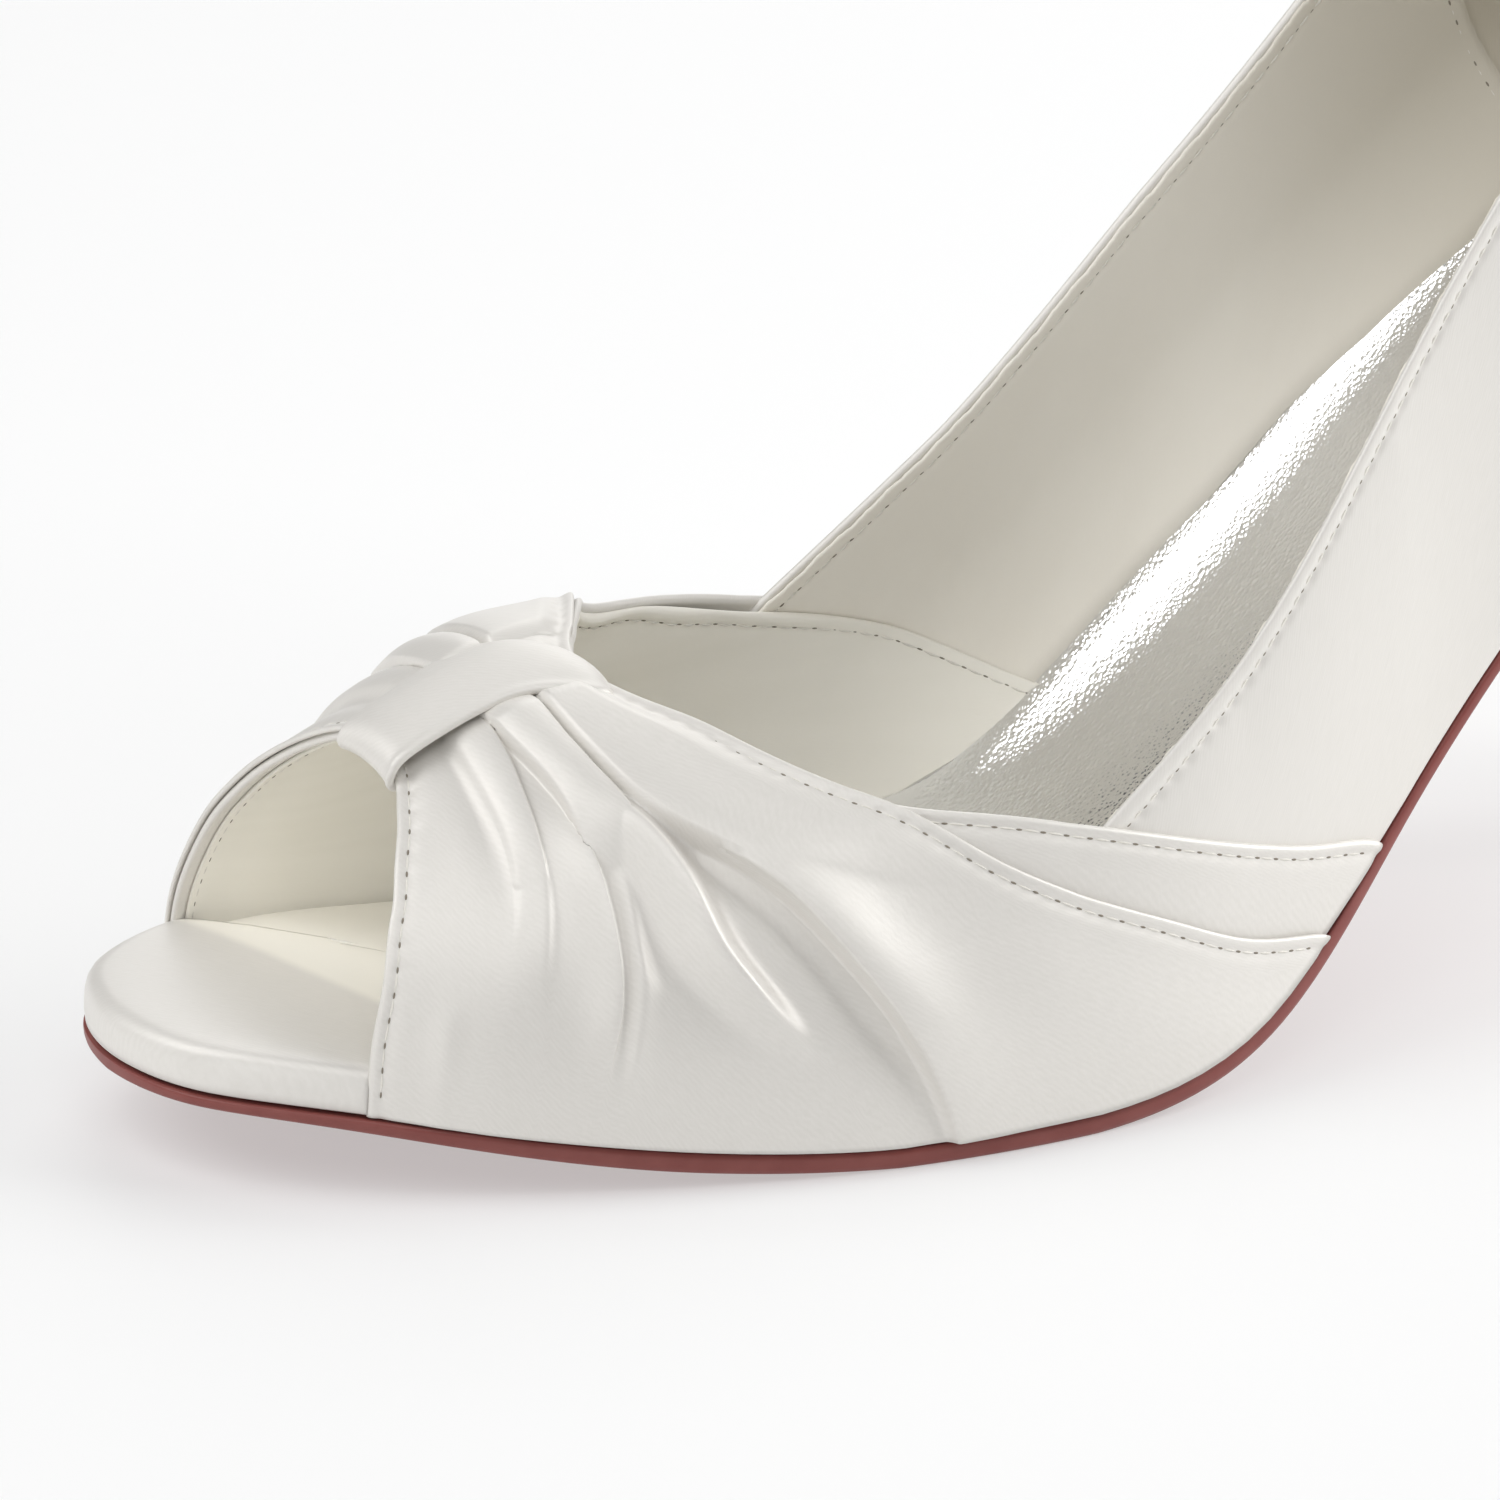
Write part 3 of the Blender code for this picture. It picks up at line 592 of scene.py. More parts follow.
# %% Insole
INSOLE_THICK, TOE_PAD = 3.2, 4.6  # mm, the board and its padded toe
PAD_FULL, PAD_END = 22.0, 62.0  # stations between which the padding thins out
TOE_INSET = 0.2  # mm that the board stands back from the feather line at the toe
STEP_IN_START, STEP_IN_END = 15.8, 16.6  # the board steps in behind the drape's foot
VAMP_END, QUARTER_ALONE = 120.0, 132.0  # and widens again behind the vamp's lining
INSOLE_BACK = 214.6
VAMP_PROUD = 0.7  # mm that the underlay's outer face stands over the quarter's
VAMP_WALL, QUARTER_WALL = 2.7, 1.3  # mm, all layers of the wall together
RING_SPAN = 40.0  # an inset this deep reaches the middle of the board
INSOLE_RINGS = (  # inset, height share
    (40.0, 0.0),
    (0.7, 0.0),
    (0.1, 0.06),
    (0.0, 0.25),
    (0.0, 0.45),
    (0.05, 0.62),
    (0.22, 0.78),
    (0.55, 0.90),
    (1.1, 0.98),
    (2.0, 1.02),
    (4.0, 1.06),
    (8.0, 1.10),
    (15.0, 1.13),
    (27.0, 1.14),
    (40.0, 1.14),
)


def insole_top(station):
    return INSOLE_THICK + (TOE_PAD - INSOLE_THICK) * (1 - smooth_step(PAD_FULL, PAD_END, station))


def insole_inset(station):
    """The board fills the toe, and lies inside the wall from the toe opening back."""
    behind_vamp = smooth_step(VAMP_END, QUARTER_ALONE, station)
    face = (VAMP_WALL - VAMP_PROUD) * (1 - behind_vamp) + QUARTER_WALL * behind_vamp
    inside = cover(station) + face + 2 * GAP
    return TOE_INSET + (inside - TOE_INSET) * smooth_step(STEP_IN_START, STEP_IN_END, station)


def place_insole(u, index):
    inset, level = np.array(INSOLE_RINGS)[index].T
    share = np.cos(np.pi * u) ** 2
    rim = INSOLE_BACK * share
    station = inset + (INSOLE_BACK - 2 * inset) * share
    side = np.where(u < 0.5, 1.0, -1.0)
    x = LAST["centre"](station) + side * outline(rim, insole_inset(rim)) * (1 - inset / RING_SPAN)
    y, z = below(station, -level * insole_top(station))
    return np.stack((x, y, z), -1)


insole_mesh = grid_mesh(720, len(INSOLE_RINGS) - 1, place_insole)
insole = finish_piece("wrapped_insole", insole_mesh, insole_satin, "insole")

# %% [markdown]
# ## Silver sock
# The sock is a thin pad glued over the insole from the ball to the seat. It is cupped: its sides climb the
# wall a little, and that turns their reflections to the light while the middle mirrors the lining. Its rows
# go once round its section, over the cupped top, round the edge and back underneath.

# %% Sock
SOCK_THICK = 1.3
GLUE = 0.05  # mm between the board's domed top and the sock
DOME = INSOLE_RINGS[-1][1]
SOCK_FRONT, SOCK_BOW, SOCK_BACK = 76.0, 9.0, 213.0  # stations, and how far its front edge bows
FRONT_SHARE, FRONT_REACH = 0.25, 0.04  # its front is skived to this share of its thickness
SOCK_CUP, CUP_POWER = 14.0, 6.0  # mm that the sides climb, and how late
CUP_EDGE = 0.77  # share of the half width where the climb ends, under the lining
CUP_START, CUP_FULL = 82.0, 128.0  # stations between which it becomes cupped
SOCK_INSET, SOCK_LEAN = 0.25, 0.15  # mm that its underside stays inside the wall, and its top less
SOCK_EDGE = 0.55  # share of the thickness at the middle of its edge
LINING_FACE = 1.4  # the quarter lining's inner face, under the quarter's outer face
FACE_CHANGE = 108.0  # station where the vamp lining's face begins to give way to the quarter's
SOCK_ACROSS = np.sin(np.linspace(-np.pi / 2, np.pi / 2, 29))

sock_rows = [(side, 1.0) for side in SOCK_ACROSS] + [(1.0, SOCK_EDGE)]
sock_rows += [(side, 0.0) for side in SOCK_ACROSS[::-1]] + [(-1.0, SOCK_EDGE)]


def wall_inset(station):
    """How far the lining's inner face lies inside the feather line."""
    changed = smooth_step(FACE_CHANGE, VAMP_END, station)
    return cover(station) + (VAMP_WALL - VAMP_PROUD) * (1 - changed) + LINING_FACE * changed


def sock_bed(station, side):
    """Height of the sock's underside over the bottom, square to it, at a share of its half width."""
    climb = SOCK_CUP * np.minimum(np.abs(side), CUP_EDGE) ** CUP_POWER
    return insole_top(station) * DOME + GLUE + climb * smooth_step(CUP_START, CUP_FULL, station)


def place_sock(u, row):
    side, level = row
    front = SOCK_FRONT + SOCK_BOW * side * side
    station = front + (SOCK_BACK - front) * u
    thin_front = FRONT_SHARE + (1 - FRONT_SHARE) * smooth_step(0.0, FRONT_REACH, u)
    height = sock_bed(station, side) + level * SOCK_THICK * thin_front
    inset = wall_inset(station) + SOCK_INSET - SOCK_LEAN * level
    x = LAST["centre"](station) + side * outline(station, inset)
    y, z = below(station, -height)
    return np.stack((x, y, z), -1)


sock = layer("silver_sock", 200, np.array(sock_rows), place_sock, silver_kid, "sock")

# %% [markdown]
# ## Edges of the upper
# Three layers of satin meet on the vamp. The quarter is sewn under the vamp's plain underlay, and the
# pleated drape lies over both. Short tables hold the edges as they run over the last: the toe opening's
# station at a rise up the section, the stations of the vamp's back edges at a turn over the foot, in
# degrees from the outer feather line, and the height of the quarter's top edge.

# %% Edge tables
OPENING = columns_of(
    ("rise", "station"),
    (
        (0.00, 15.9),
        (0.10, 16.2),
        (0.20, 16.6),
        (0.30, 17.3),
        (0.42, 18.4),
        (0.53, 19.4),
        (0.61, 20.3),
        (0.67, 21.2),
        (0.79, 23.0),
        (0.86, 24.5),
        (0.90, 25.4),
        (0.94, 26.5),
        (1.00, 27.8),
    ),
)
EDGES = columns_of(
    ("turn", "drape_back", "underlay"),
    (
        (0, 112.0, 119.5),
        (6, 101.5, 110.7),
        (11.5, 93.6, 103.7),
        (17.5, 85.1, 95.9),
        (25, 76.3, 85.4),
        (32, 70.8, 74.9),
        (37.5, 66.8, 67.2),
        (42, 63.1, 63.4),
        (52, 56.5, 56.6),
        (59, 53.1, 53.2),
        (64, 50.6, 50.7),
        (70, 48.4, 48.5),
        (77, 47.2, 47.2),
        (84, 47.8, 47.8),
        (90, 49.2, 49.2),
        (97, 51.0, 51.0),
        (104, 53.0, 53.2),
        (116, 56.4, 57.0),
        (128, 60.0, 61.0),
        (134, 63.0, 65.0),
        (140, 66.6, 71.0),
        (146, 71.0, 78.0),
        (152, 75.6, 86.0),
        (158, 81.5, 94.0),
        (168.5, 94.5, 106.0),
        (174, 102.0, 112.0),
        (180, 112.0, 118.5),
    ),
)
TOPLINE = columns_of(
    ("station", "outer", "inner"),
    (
        (66, 13.0, 14.5),
        (78, 20.8, 24.0),
        (86.5, 26.8, 31.5),
        (98, 32.9, 40.0),
        (111, 37.2, 45.3),
        (124, 40.6, 47.6),
        (136, 43.6, 48.4),
        (148, 46.3, 49.2),
        (173, 50.6, 51.2),
        (191, 52.8, 53.0),
        (218, 55.5, 55.5),
    ),
)
QUARTER_TUCK = 2.0  # mm of the quarter that lie under the underlay's edge
TOPLINE_FRONT = 86.5  # station where the topline goes under it
COUNTER_SHARE = 0.26  # share of a half strip that goes round the heel


def opening_edge(angle):
    return OPENING["station"](np.sin(angle))


def drape_back_edge(angle):
    return EDGES["drape_back"](np.degrees(angle)) - GAP


def underlay_edge(angle):
    return EDGES["underlay"](np.degrees(angle))


def station_per_mm(edge, angle, offset):
    """Stations for each millimetre square to an edge that crosses the last."""
    small = 1e-3
    here = lasted(edge(angle), angle, offset)
    ahead, behind = (lasted(edge(angle + by), angle + by, offset) for by in (small, -small))
    run = ahead - behind
    run /= np.maximum(np.linalg.norm(run, axis=-1, keepdims=True), 1e-9)
    step = (lasted(edge(angle) + small, angle, offset) - here) / small
    square = step - run * np.sum(step * run, axis=-1, keepdims=True)
    return np.clip(1 / np.maximum(np.linalg.norm(square, axis=-1), 1e-6), 0.5, 3.0)


print("edges over the foot: opening,", ", ".join(EDGES))

# %% [markdown]
# ## Stitched hems
# Each edge is folded under and sewn with one row of stitches. Between the fold and the stitches the hem
# puffs up, and the thread draws the cloth down into a groove with a dimple at each needle hole. One
# function gives that relief from the distance to the edge and along it. The stitches are then short arched
# threads, made by one loop that reads the same row.

# %% Hem relief and stitch rows
STITCH_PITCH = 2.4  # mm from hole to hole
THREAD = 0.13  # mm, half the thread's thickness
DIMPLE = 0.55  # mm, reach of the dimple round a needle hole
GROOVE_TO_EDGE, GROOVE_TO_CLOTH = 0.42, 0.75  # mm, reach of the groove towards the edge and away from it
GROOVE_SHARE = 0.45  # depth of the groove between two holes, as a share of that at a hole
PUFF_MIDDLE, PUFF_REACH = 0.45, 0.4  # shares of the way from the fold to the stitches
stitch_rows, thread_heights, hole_heights = [], [], []


def hem_relief(inset, along, stitch_inset, puff=0.04, draw=0.2):
    """Height of a hem at a distance from its edge and along its row of stitches."""
    to_hole = np.abs((along / STITCH_PITCH) % 1.0 - 0.5) * STITCH_PITCH
    hole = np.exp(-((to_hole / DIMPLE) ** 2))
    away = inset - stitch_inset
    width = np.where(away < 0, GROOVE_TO_EDGE, GROOVE_TO_CLOTH)
    groove = np.exp(-((away / width) ** 2)) * (GROOVE_SHARE + (1 - GROOVE_SHARE) * hole)
    raised = np.exp(-(((inset - PUFF_MIDDLE * stitch_inset) / (PUFF_REACH * stitch_inset)) ** 2))
    return puff * raised - draw * groove


def row_lengths(point, inset, samples=2400):
    """A stitch row as u and the distance along it, from point(u, inset, height)."""
    u = np.linspace(0, 1, samples)
    steps = np.linalg.norm(np.diff(point(u, inset, 0.0), axis=0), axis=1)
    return u, np.concatenate(((0.0,), np.cumsum(steps)))


def sew(point, inset, thread_height, hole_height):
    """Notes a row of stitches at an inset from an edge, and returns its distance along the row at u."""
    u, lengths = row_lengths(point, inset)
    stitch_rows.append((point, inset, u, lengths))
    thread_heights.append(thread_height)
    hole_heights.append(hole_height)
    return lambda where: np.interp(where, u, lengths)


print("stitches: one every", STITCH_PITCH, "mm")

# %% [markdown]
# ## Quarters
# The quarters and the counter are one strip of satin from the outer side, round the heel, to the inner
# side. Its top edge is folded over and sewn to the lining. The strip is a layer whose rows climb from the
# sole to the fold and go down again inside it, with the rows packed together at the hem. Inside, the
# linings sweep in at their foot and end on the sock, so a table says how far in they meet it.

# %% Quarter satin
QUARTER_FOLD = 0.45  # mm, radius of the folded top edge
TOPLINE_STITCH = 2.2  # mm from the fold to the stitches
HEM_ZONE, STITCH_ZONE = 8.0, 4.0  # mm under the topline where the rows lie closer
HEM_SHARE = 0.85  # share of the strip's height where the hem zone begins, for its slanting front edge
SWEEP_HEIGHT = 15.0  # mm up the wall over which a lining sweeps in
SWEEP_POWER = 1.6  # how quickly it leaves the sock for the wall
FOOT_LIFT = -0.1  # mm, the linings' foot sinks a little into the sock, so that no slit shows
SWEEP = columns_of(
    ("station", "inward"),
    (
        (60, 0.0),
        (80, 0.0),
        (90, 4.0),
        (100, 7.0),
        (110, 7.8),
        (120, 7.0),
        (130, 6.6),
        (138, 6.2),
        (145, 7.2),
        (157, 9.0),
        (173, 9.5),
        (191, 8.0),
        (281, 6.0),
    ),
)


def topline_height(station, inner):
    """Height of the top edge over the feather line. Round the heel the station counts degrees."""
    turned = SEAT_ROUND + (LENGTH - SEAT_ROUND) * (station - SEAT_ROUND) / 90
    place = np.where(station <= SEAT_ROUND, station, turned)
    return np.where(inner, TOPLINE["inner"](place), TOPLINE["outer"](place))


def wall_angle(station, height, inner):
    """Angle up the section at a height over the feather line."""
    share = np.clip(height / LAST["crown"](np.minimum(station, SEAT_ROUND)), 0.0, 1.0)
    angle = np.arcsin(share ** (CROWN_POWER / 2))
    return np.where(inner, np.pi - angle, angle)


def quarter_station(u, share):
    """Station along the quarter strip at a share of its height."""
    inner = u > 0.5
    along = 1 - np.abs(2 * u - 1)
    top = np.sin(wall_angle(TOPLINE_FRONT, topline_height(TOPLINE_FRONT, inner), False))
    rise = share * top
    angle = np.arcsin(rise)
    front = underlay_edge(np.where(inner, np.pi - angle, angle)) - QUARTER_TUCK
    side = front + (SEAT_ROUND - front) * along / (1 - COUNTER_SHARE)
    counter = SEAT_ROUND + 90 * (along - 1 + COUNTER_SHARE) / COUNTER_SHARE
    return np.where(along <= 1 - COUNTER_SHARE, side, counter), inner


def quarter_top(u, inset, offset):
    """A point near the quarter's top edge, inset millimetres under it."""
    station, inner = quarter_station(u, 1.0)
    height = topline_height(station, inner) - inset
    return lasted(station, wall_angle(station, height, inner), offset)


def true_station(station):
    """The station along the foot where degrees round the heel are counted."""
    turned = SEAT_ROUND + (LENGTH - SEAT_ROUND) * np.sin(np.radians(station - SEAT_ROUND))
    return np.where(station <= SEAT_ROUND, station, turned)


def lining_foot(station):
    """Height over the feather line where the linings' foot ends on the sock."""
    place = np.minimum(true_station(station), SOCK_BACK)
    inward = SWEEP["inward"](station)
    reach = outline(np.minimum(place, SEAT_ROUND), cover(place) + LINING_FACE) - inward
    on_sock = place
    for _ in range(6):
        slope = bottom(on_sock + 0.5) - bottom(on_sock - 0.5)
        side = reach / np.maximum(outline(np.minimum(on_sock, SEAT_ROUND), wall_inset(on_sock)), 1.0)
        thick = (sock_bed(on_sock, side) + SOCK_THICK) / np.hypot(1, slope)
        on_sock = place + slope * thick
    crown_share = 1 - (inward + LINING_FACE) / LAST["crown"](np.minimum(place, SEAT_ROUND))
    return (bottom(on_sock) + thick - bottom(place) + FOOT_LIFT) / crown_share


def lining_sweep(station, height):
    """How far a lining sweeps in from the wall, in an even curve up from its foot."""
    up = np.clip((height - lining_foot(station)) / SWEEP_HEIGHT, 0.0, 1.0)
    return SWEEP["inward"](station) * (1 - up) ** SWEEP_POWER


def place_strip(u, row, top_drop, outer_offset, relief, low_end=lambda station: GAP, low_share=0.0):
    """A corner of a strip that follows the quarter, its top edge top_drop under the topline."""
    mark, foot, rim, depth = row
    share = np.interp(mark, (0, 1, 3), (low_share, HEM_SHARE, 1.0))
    station, inner = quarter_station(u, share)
    top = topline_height(station, inner) - top_drop
    low = np.full_like(top, low_end(station))
    height = between((low, top - HEM_ZONE, top - STITCH_ZONE, top), mark) + rim + foot
    lift = relief(u, top + top_drop - height, station, height)
    return lasted(station, wall_angle(station, height, inner), outer_offset - depth + lift)


def strip_marks(coarse, middle, fine):
    """Marks up a strip: few rows on the plain wall, more towards the hem."""
    return np.concatenate(
        (np.linspace(0, 1, coarse), np.linspace(1, 2, middle)[1:], np.linspace(2, 3, fine)[1:])
    )


topline_row = sew(quarter_top, TOPLINE_STITCH, thread_height=-0.2, hole_height=-0.13)


def quarter_relief(u, inset):
    return hem_relief(inset, topline_row(u), TOPLINE_STITCH, puff=0.06, draw=0.24)


quarter_rows = section_rows(strip_marks(14, 7, 14), QUARTER_FOLD)
layer(
    "quarter_satin",
    880,
    quarter_rows,
    lambda u, row: place_strip(
        u,
        row,
        QUARTER_FOLD,
        0.0,
        lambda u, inset, station, height: quarter_relief(u, inset) * (row[3] < QUARTER_FOLD),
    ),
    ivory_satin,
    "upper",
)

# %% [markdown]
# ## Quarter lining
# The cream lining is glued inside the quarter, and its raw edge is trimmed by hand just under the fold, so
# it runs a little unevenly. It is a second, thinner strip on the same wall. The same stitches show on it.
# Where the suede grip begins, the lining steps back by its own thickness, and a slanting row of stitches
# holds the two.

# %% Quarter lining
LINING_FOLD = 0.22  # mm, half the lining's thickness
LINING_DROP = 0.45  # mm, the trimmed edge lies this far under the fold
GRIP_STEP, GRIP_STITCH = 0.35, 1.6  # mm, the step at the grip and the stitches' distance from it
GRIP_FOOT, GRIP_RUN = 14.0, 31.0  # mm up the wall where the grip's seam begins, and how far it runs
STEP_BLUR = 0.2  # mm on each side of the grip's front edge over which it steps back
LINING_LOW_SHARE = 0.2  # share of the front edge's height where the lining's foot begins
TRIM_WAVES = ((0.12, 310, 0.0), (0.08, 787, 1.0), (0.05, 1900, 2.0))  # mm, radians along the strip, start


def trimmed(u):
    """Uneven hand trimming along the lining's edge, in millimetres."""
    return sum(size * np.sin(rate * u + start) for size, rate, start in TRIM_WAVES)


lining_row = sew(
    lambda u, inset, height: quarter_top(u, inset, -LINING_FACE - height),
    TOPLINE_STITCH,
    thread_height=-0.14,
    hole_height=-0.12,
)


def past_grip(station, height):
    """Millimetres that a point of the wall lies behind the grip's front edge."""
    return station + GRIP_SLANT * (bottom(np.minimum(station, SEAT_ROUND)) + height) - GRIP_LINE


def grip_seam(u, inset, height, inner):
    """A point of the seam before the grip, from near the sole up to the topline."""
    up_wall = GRIP_FOOT + GRIP_RUN * u
    station = np.full_like(u, BREAST)
    for _ in range(20):
        station = station - past_grip(station, up_wall) - inset
    depth = LINING_FACE + height + lining_sweep(station, up_wall)
    return lasted(station, wall_angle(station, up_wall, inner), -depth)


for inner in (False, True):
    sew(
        lambda u, inset, height, inner=inner: grip_seam(u, inset, height, inner),
        GRIP_STITCH,
        thread_height=-0.12,
        hole_height=0.02,
    )


def lining_relief(u, inset, station, height):
    """The stitched hem of the lining and the step back at the grip, as height over its outer side."""
    step = GRIP_STEP * smooth_step(-STEP_BLUR, STEP_BLUR, past_grip(station, height))
    return step - hem_relief(inset, lining_row(u), TOPLINE_STITCH, puff=0.0, draw=0.2)


lining_rows = section_rows(strip_marks(16, 5, 10), LINING_FOLD, 4)
layer(
    "quarter_lining",
    760,
    lining_rows,
    lambda u, row: place_strip(
        u,
        row,
        LINING_DROP + trimmed(u),
        2 * LINING_FOLD - LINING_FACE,
        lambda u, inset, station, height: lining_relief(u, inset, station, height) * (row[3] > LINING_FOLD)
        - lining_sweep(station, height),
        lining_foot,
        LINING_LOW_SHARE,
    ),
    quarter_skin,
)

# %% [markdown]
# ## Vamp underlay
# Under the drape lies a plain vamp. It shows as a band behind the drape, as the rim of the throat, and as
# the white facing inside the toe opening, where its satin is turned in. Its rows run from the opening to
# its back edge, and its columns go over the foot from the inner to the outer feather line.

# %% Underlay
UNDERLAY_FOLD = 0.5  # mm, radius of its folded edges
UNDERLAY_SETBACK = 0.4  # mm that the drape's front edge stands before the underlay's
UNDERLAY_HEM, HEM_MOST = 4.0, 0.45  # mm of close rows at the back edge, and their most as a share of all
EDGE_STITCH = 1.35  # mm from a folded edge to its stitches
SINK = 0.14  # mm that their thread and holes lie under the cloth's face


def over_foot(u):
    """Angle over the foot from the inner feather line, u = 0, to the outer one, u = 1."""
    return np.pi * (1 - u)


def hem_line(edge, inward, offset):
    """A hem over the foot, as a function of u, the inset from its edge and the height over its face."""

    def point(u, inset, height):
        angle = over_foot(u)
        per = station_per_mm(edge, angle, offset)
        return lasted(edge(angle) + inward * inset * per, angle, offset + height)

    return point


underlay_hem = hem_line(underlay_edge, -1, VAMP_PROUD)
underlay_row = sew(underlay_hem, EDGE_STITCH, thread_height=-SINK, hole_height=-SINK)


def place_underlay(u, row):
    mark, front_turn, back_turn, depth = row
    angle = over_foot(u)
    per_front = station_per_mm(opening_edge, angle, VAMP_PROUD)
    per_back = station_per_mm(underlay_edge, angle, VAMP_PROUD)
    front = opening_edge(angle) + (UNDERLAY_SETBACK + UNDERLAY_FOLD) * per_front
    rear = underlay_edge(angle) - UNDERLAY_FOLD * per_back
    hem = np.minimum(UNDERLAY_HEM * per_back, HEM_MOST * (rear - front))
    station = between((front, rear - hem, rear), mark)
    inset = (underlay_edge(angle) - station) / per_back
    relief = hem_relief(inset, underlay_row(u), EDGE_STITCH) * (depth < UNDERLAY_FOLD)
    station = station + front_turn * per_front + back_turn * per_back
    return lasted(station, angle, VAMP_PROUD - depth + relief)


underlay_marks = np.concatenate((np.linspace(0, 1, 22), np.linspace(1, 2, 16)[1:]))
layer("vamp_underlay", 420, section_rows(underlay_marks, UNDERLAY_FOLD), place_underlay, ivory_satin)

# %% [markdown]
# ## Vamp lining
# The vamp's own lining laps over the quarter's lining inside the shoe, and its lapped edge is sewn down. In
# the toe opening it stops a little short of the turned-in satin. A few soft ridges stand for the creases that
# lasting leaves in thin leather.

# %% Vamp lining
FACING = 2.2  # mm of turned-in satin in front of the lining
VAMP_LINING_FOLD = 0.25  # mm, half the lining's thickness
LAP_SETBACK = 0.35  # mm that its back edge lies before the underlay's
EDGE_FACE = VAMP_LINING_FOLD * 2 + 2 * UNDERLAY_FOLD - VAMP_PROUD  # the lining's inner face at a free edge
DEEP_FACE = VAMP_WALL - VAMP_PROUD  # and away from it or over the quarter, where more lies between
LAP_FULL, LAP_END = 30.0, 42.0  # degrees from the feather lines where the lining laps over the quarter's
FACE_START, FACE_REACH = 1.0, 11.0  # mm from the edge over which it sinks to that
LINING_STITCH, LINING_FRONT_STITCH = 1.3, 0.9  # mm from its back and front edges to their stitches
LEAST_SWEEP = 0.05  # mm, the lining's foot follows the sock where it sweeps in more than this
CREASES = (  # station, angle in degrees, station reach, angle reach, height
    (62.0, 128.0, 5.0, 22.0, 0.5),
    (74.0, 140.0, 4.0, 18.0, 0.45),
    (88.0, 150.0, 6.0, 16.0, 0.4),
    (36.0, 150.0, 7.0, 14.0, 0.5),
    (48.0, 118.0, 6.0, 16.0, 0.4),
)


def lining_back_edge(angle):
    return underlay_edge(angle) - LAP_SETBACK


def lining_front_edge(angle):
    return opening_edge(angle) + FACING * station_per_mm(opening_edge, angle, -EDGE_FACE)


def lining_face(inset):
    """Depth of the lining's inner face at a distance from a free edge."""
    return EDGE_FACE + (DEEP_FACE - EDGE_FACE) * smooth_step(FACE_START, FACE_REACH, inset)


def back_face(inset, angle):
    """The same at the back edge, which laps over the quarter's lining on both sides of the foot."""
    turn = np.degrees(angle)
    lapped = 1 - smooth_step(LAP_FULL, LAP_END, np.minimum(turn, 180 - turn))
    return lining_face(inset) * (1 - lapped) + DEEP_FACE * lapped


def up_the_wall(station, angle):
    """Height over the feather line at an angle of the section."""
    return LAST["crown"](station) * np.sin(angle) ** (2 / CROWN_POWER)


def lining_creases(station, angle):
    """How far soft creases lift the lining into the shoe."""
    lift = np.zeros_like(station)
    for where, turn, reach, turn_reach, height in CREASES:
        away = ((station - where) / reach) ** 2 + ((np.degrees(angle) - turn) / turn_reach) ** 2
        lift = lift + height * np.exp(-away)
    return lift


def lining_hem(u, inset, height):
    angle = over_foot(u)
    per = station_per_mm(lining_back_edge, angle, -EDGE_FACE)
    station = lining_back_edge(angle) - inset * per
    depth = back_face(inset, angle) + height + lining_sweep(station, up_the_wall(station, angle))
    return lasted(station, angle, -depth - lining_creases(station, angle))


def lining_front_hem(u, inset, height):
    angle = over_foot(u)
    per = station_per_mm(opening_edge, angle, -EDGE_FACE)
    return lasted(lining_front_edge(angle) + inset * per, angle, -lining_face(inset) - height)


lining_back_row = sew(lining_hem, LINING_STITCH, thread_height=-0.06, hole_height=-0.12)
sew(lining_front_hem, LINING_FRONT_STITCH, thread_height=-0.05, hole_height=0.02)


def place_vamp_lining(u, row):
    mark, front_turn, back_turn, depth = row
    angle = over_foot(u)
    per_back = station_per_mm(lining_back_edge, angle, -EDGE_FACE)
    per_front = station_per_mm(opening_edge, angle, -EDGE_FACE)
    front = lining_front_edge(angle) + VAMP_LINING_FOLD
    rear = lining_back_edge(angle) - VAMP_LINING_FOLD
    station = front + (rear - front) * mark
    back_inset = (lining_back_edge(angle) - station) / per_back
    front_inset = (station - lining_front_edge(angle)) / per_front
    face = np.minimum(back_face(back_inset, angle), lining_face(front_inset))
    sink = hem_relief(back_inset, lining_back_row(u), LINING_STITCH, puff=0.1, draw=0.22)
    sink = (sink + lining_creases(station, angle)) * (depth > VAMP_LINING_FOLD)
    foot = np.where(SWEEP["inward"](station) > LEAST_SWEEP, lining_foot(station), 0.0)
    height = np.maximum(up_the_wall(station, angle), foot)
    angle = wall_angle(station, height, angle > np.pi / 2)
    sink = sink + lining_sweep(station, height)
    station = station + front_turn + back_turn * per_back
    return lasted(station, angle, 2 * VAMP_LINING_FOLD - face - depth - sink)


layer(
    "vamp_lining",
    260,
    section_rows(np.linspace(0, 1, 70) ** 0.8, VAMP_LINING_FOLD, 4),
    place_vamp_lining,
    vamp_skin_painted_light,
)

# %% [markdown]
# ## Pleated drape
# The drape is the shoe's show piece: one cloth laid over the vamp, gathered under the knot into folds that
# fan out to the sole. Cloth simulation could make folds, but not these folds, so each pleat is placed one by
# one. One table says where the lines of the folds run. Three more say how high a strip or a ridge stands
# or how deep a trough goes, how fast it falls off in front and behind, and how far a crest leans over the
# crease beside it. Rows of the mesh follow the crests, so a steep side stays clean.

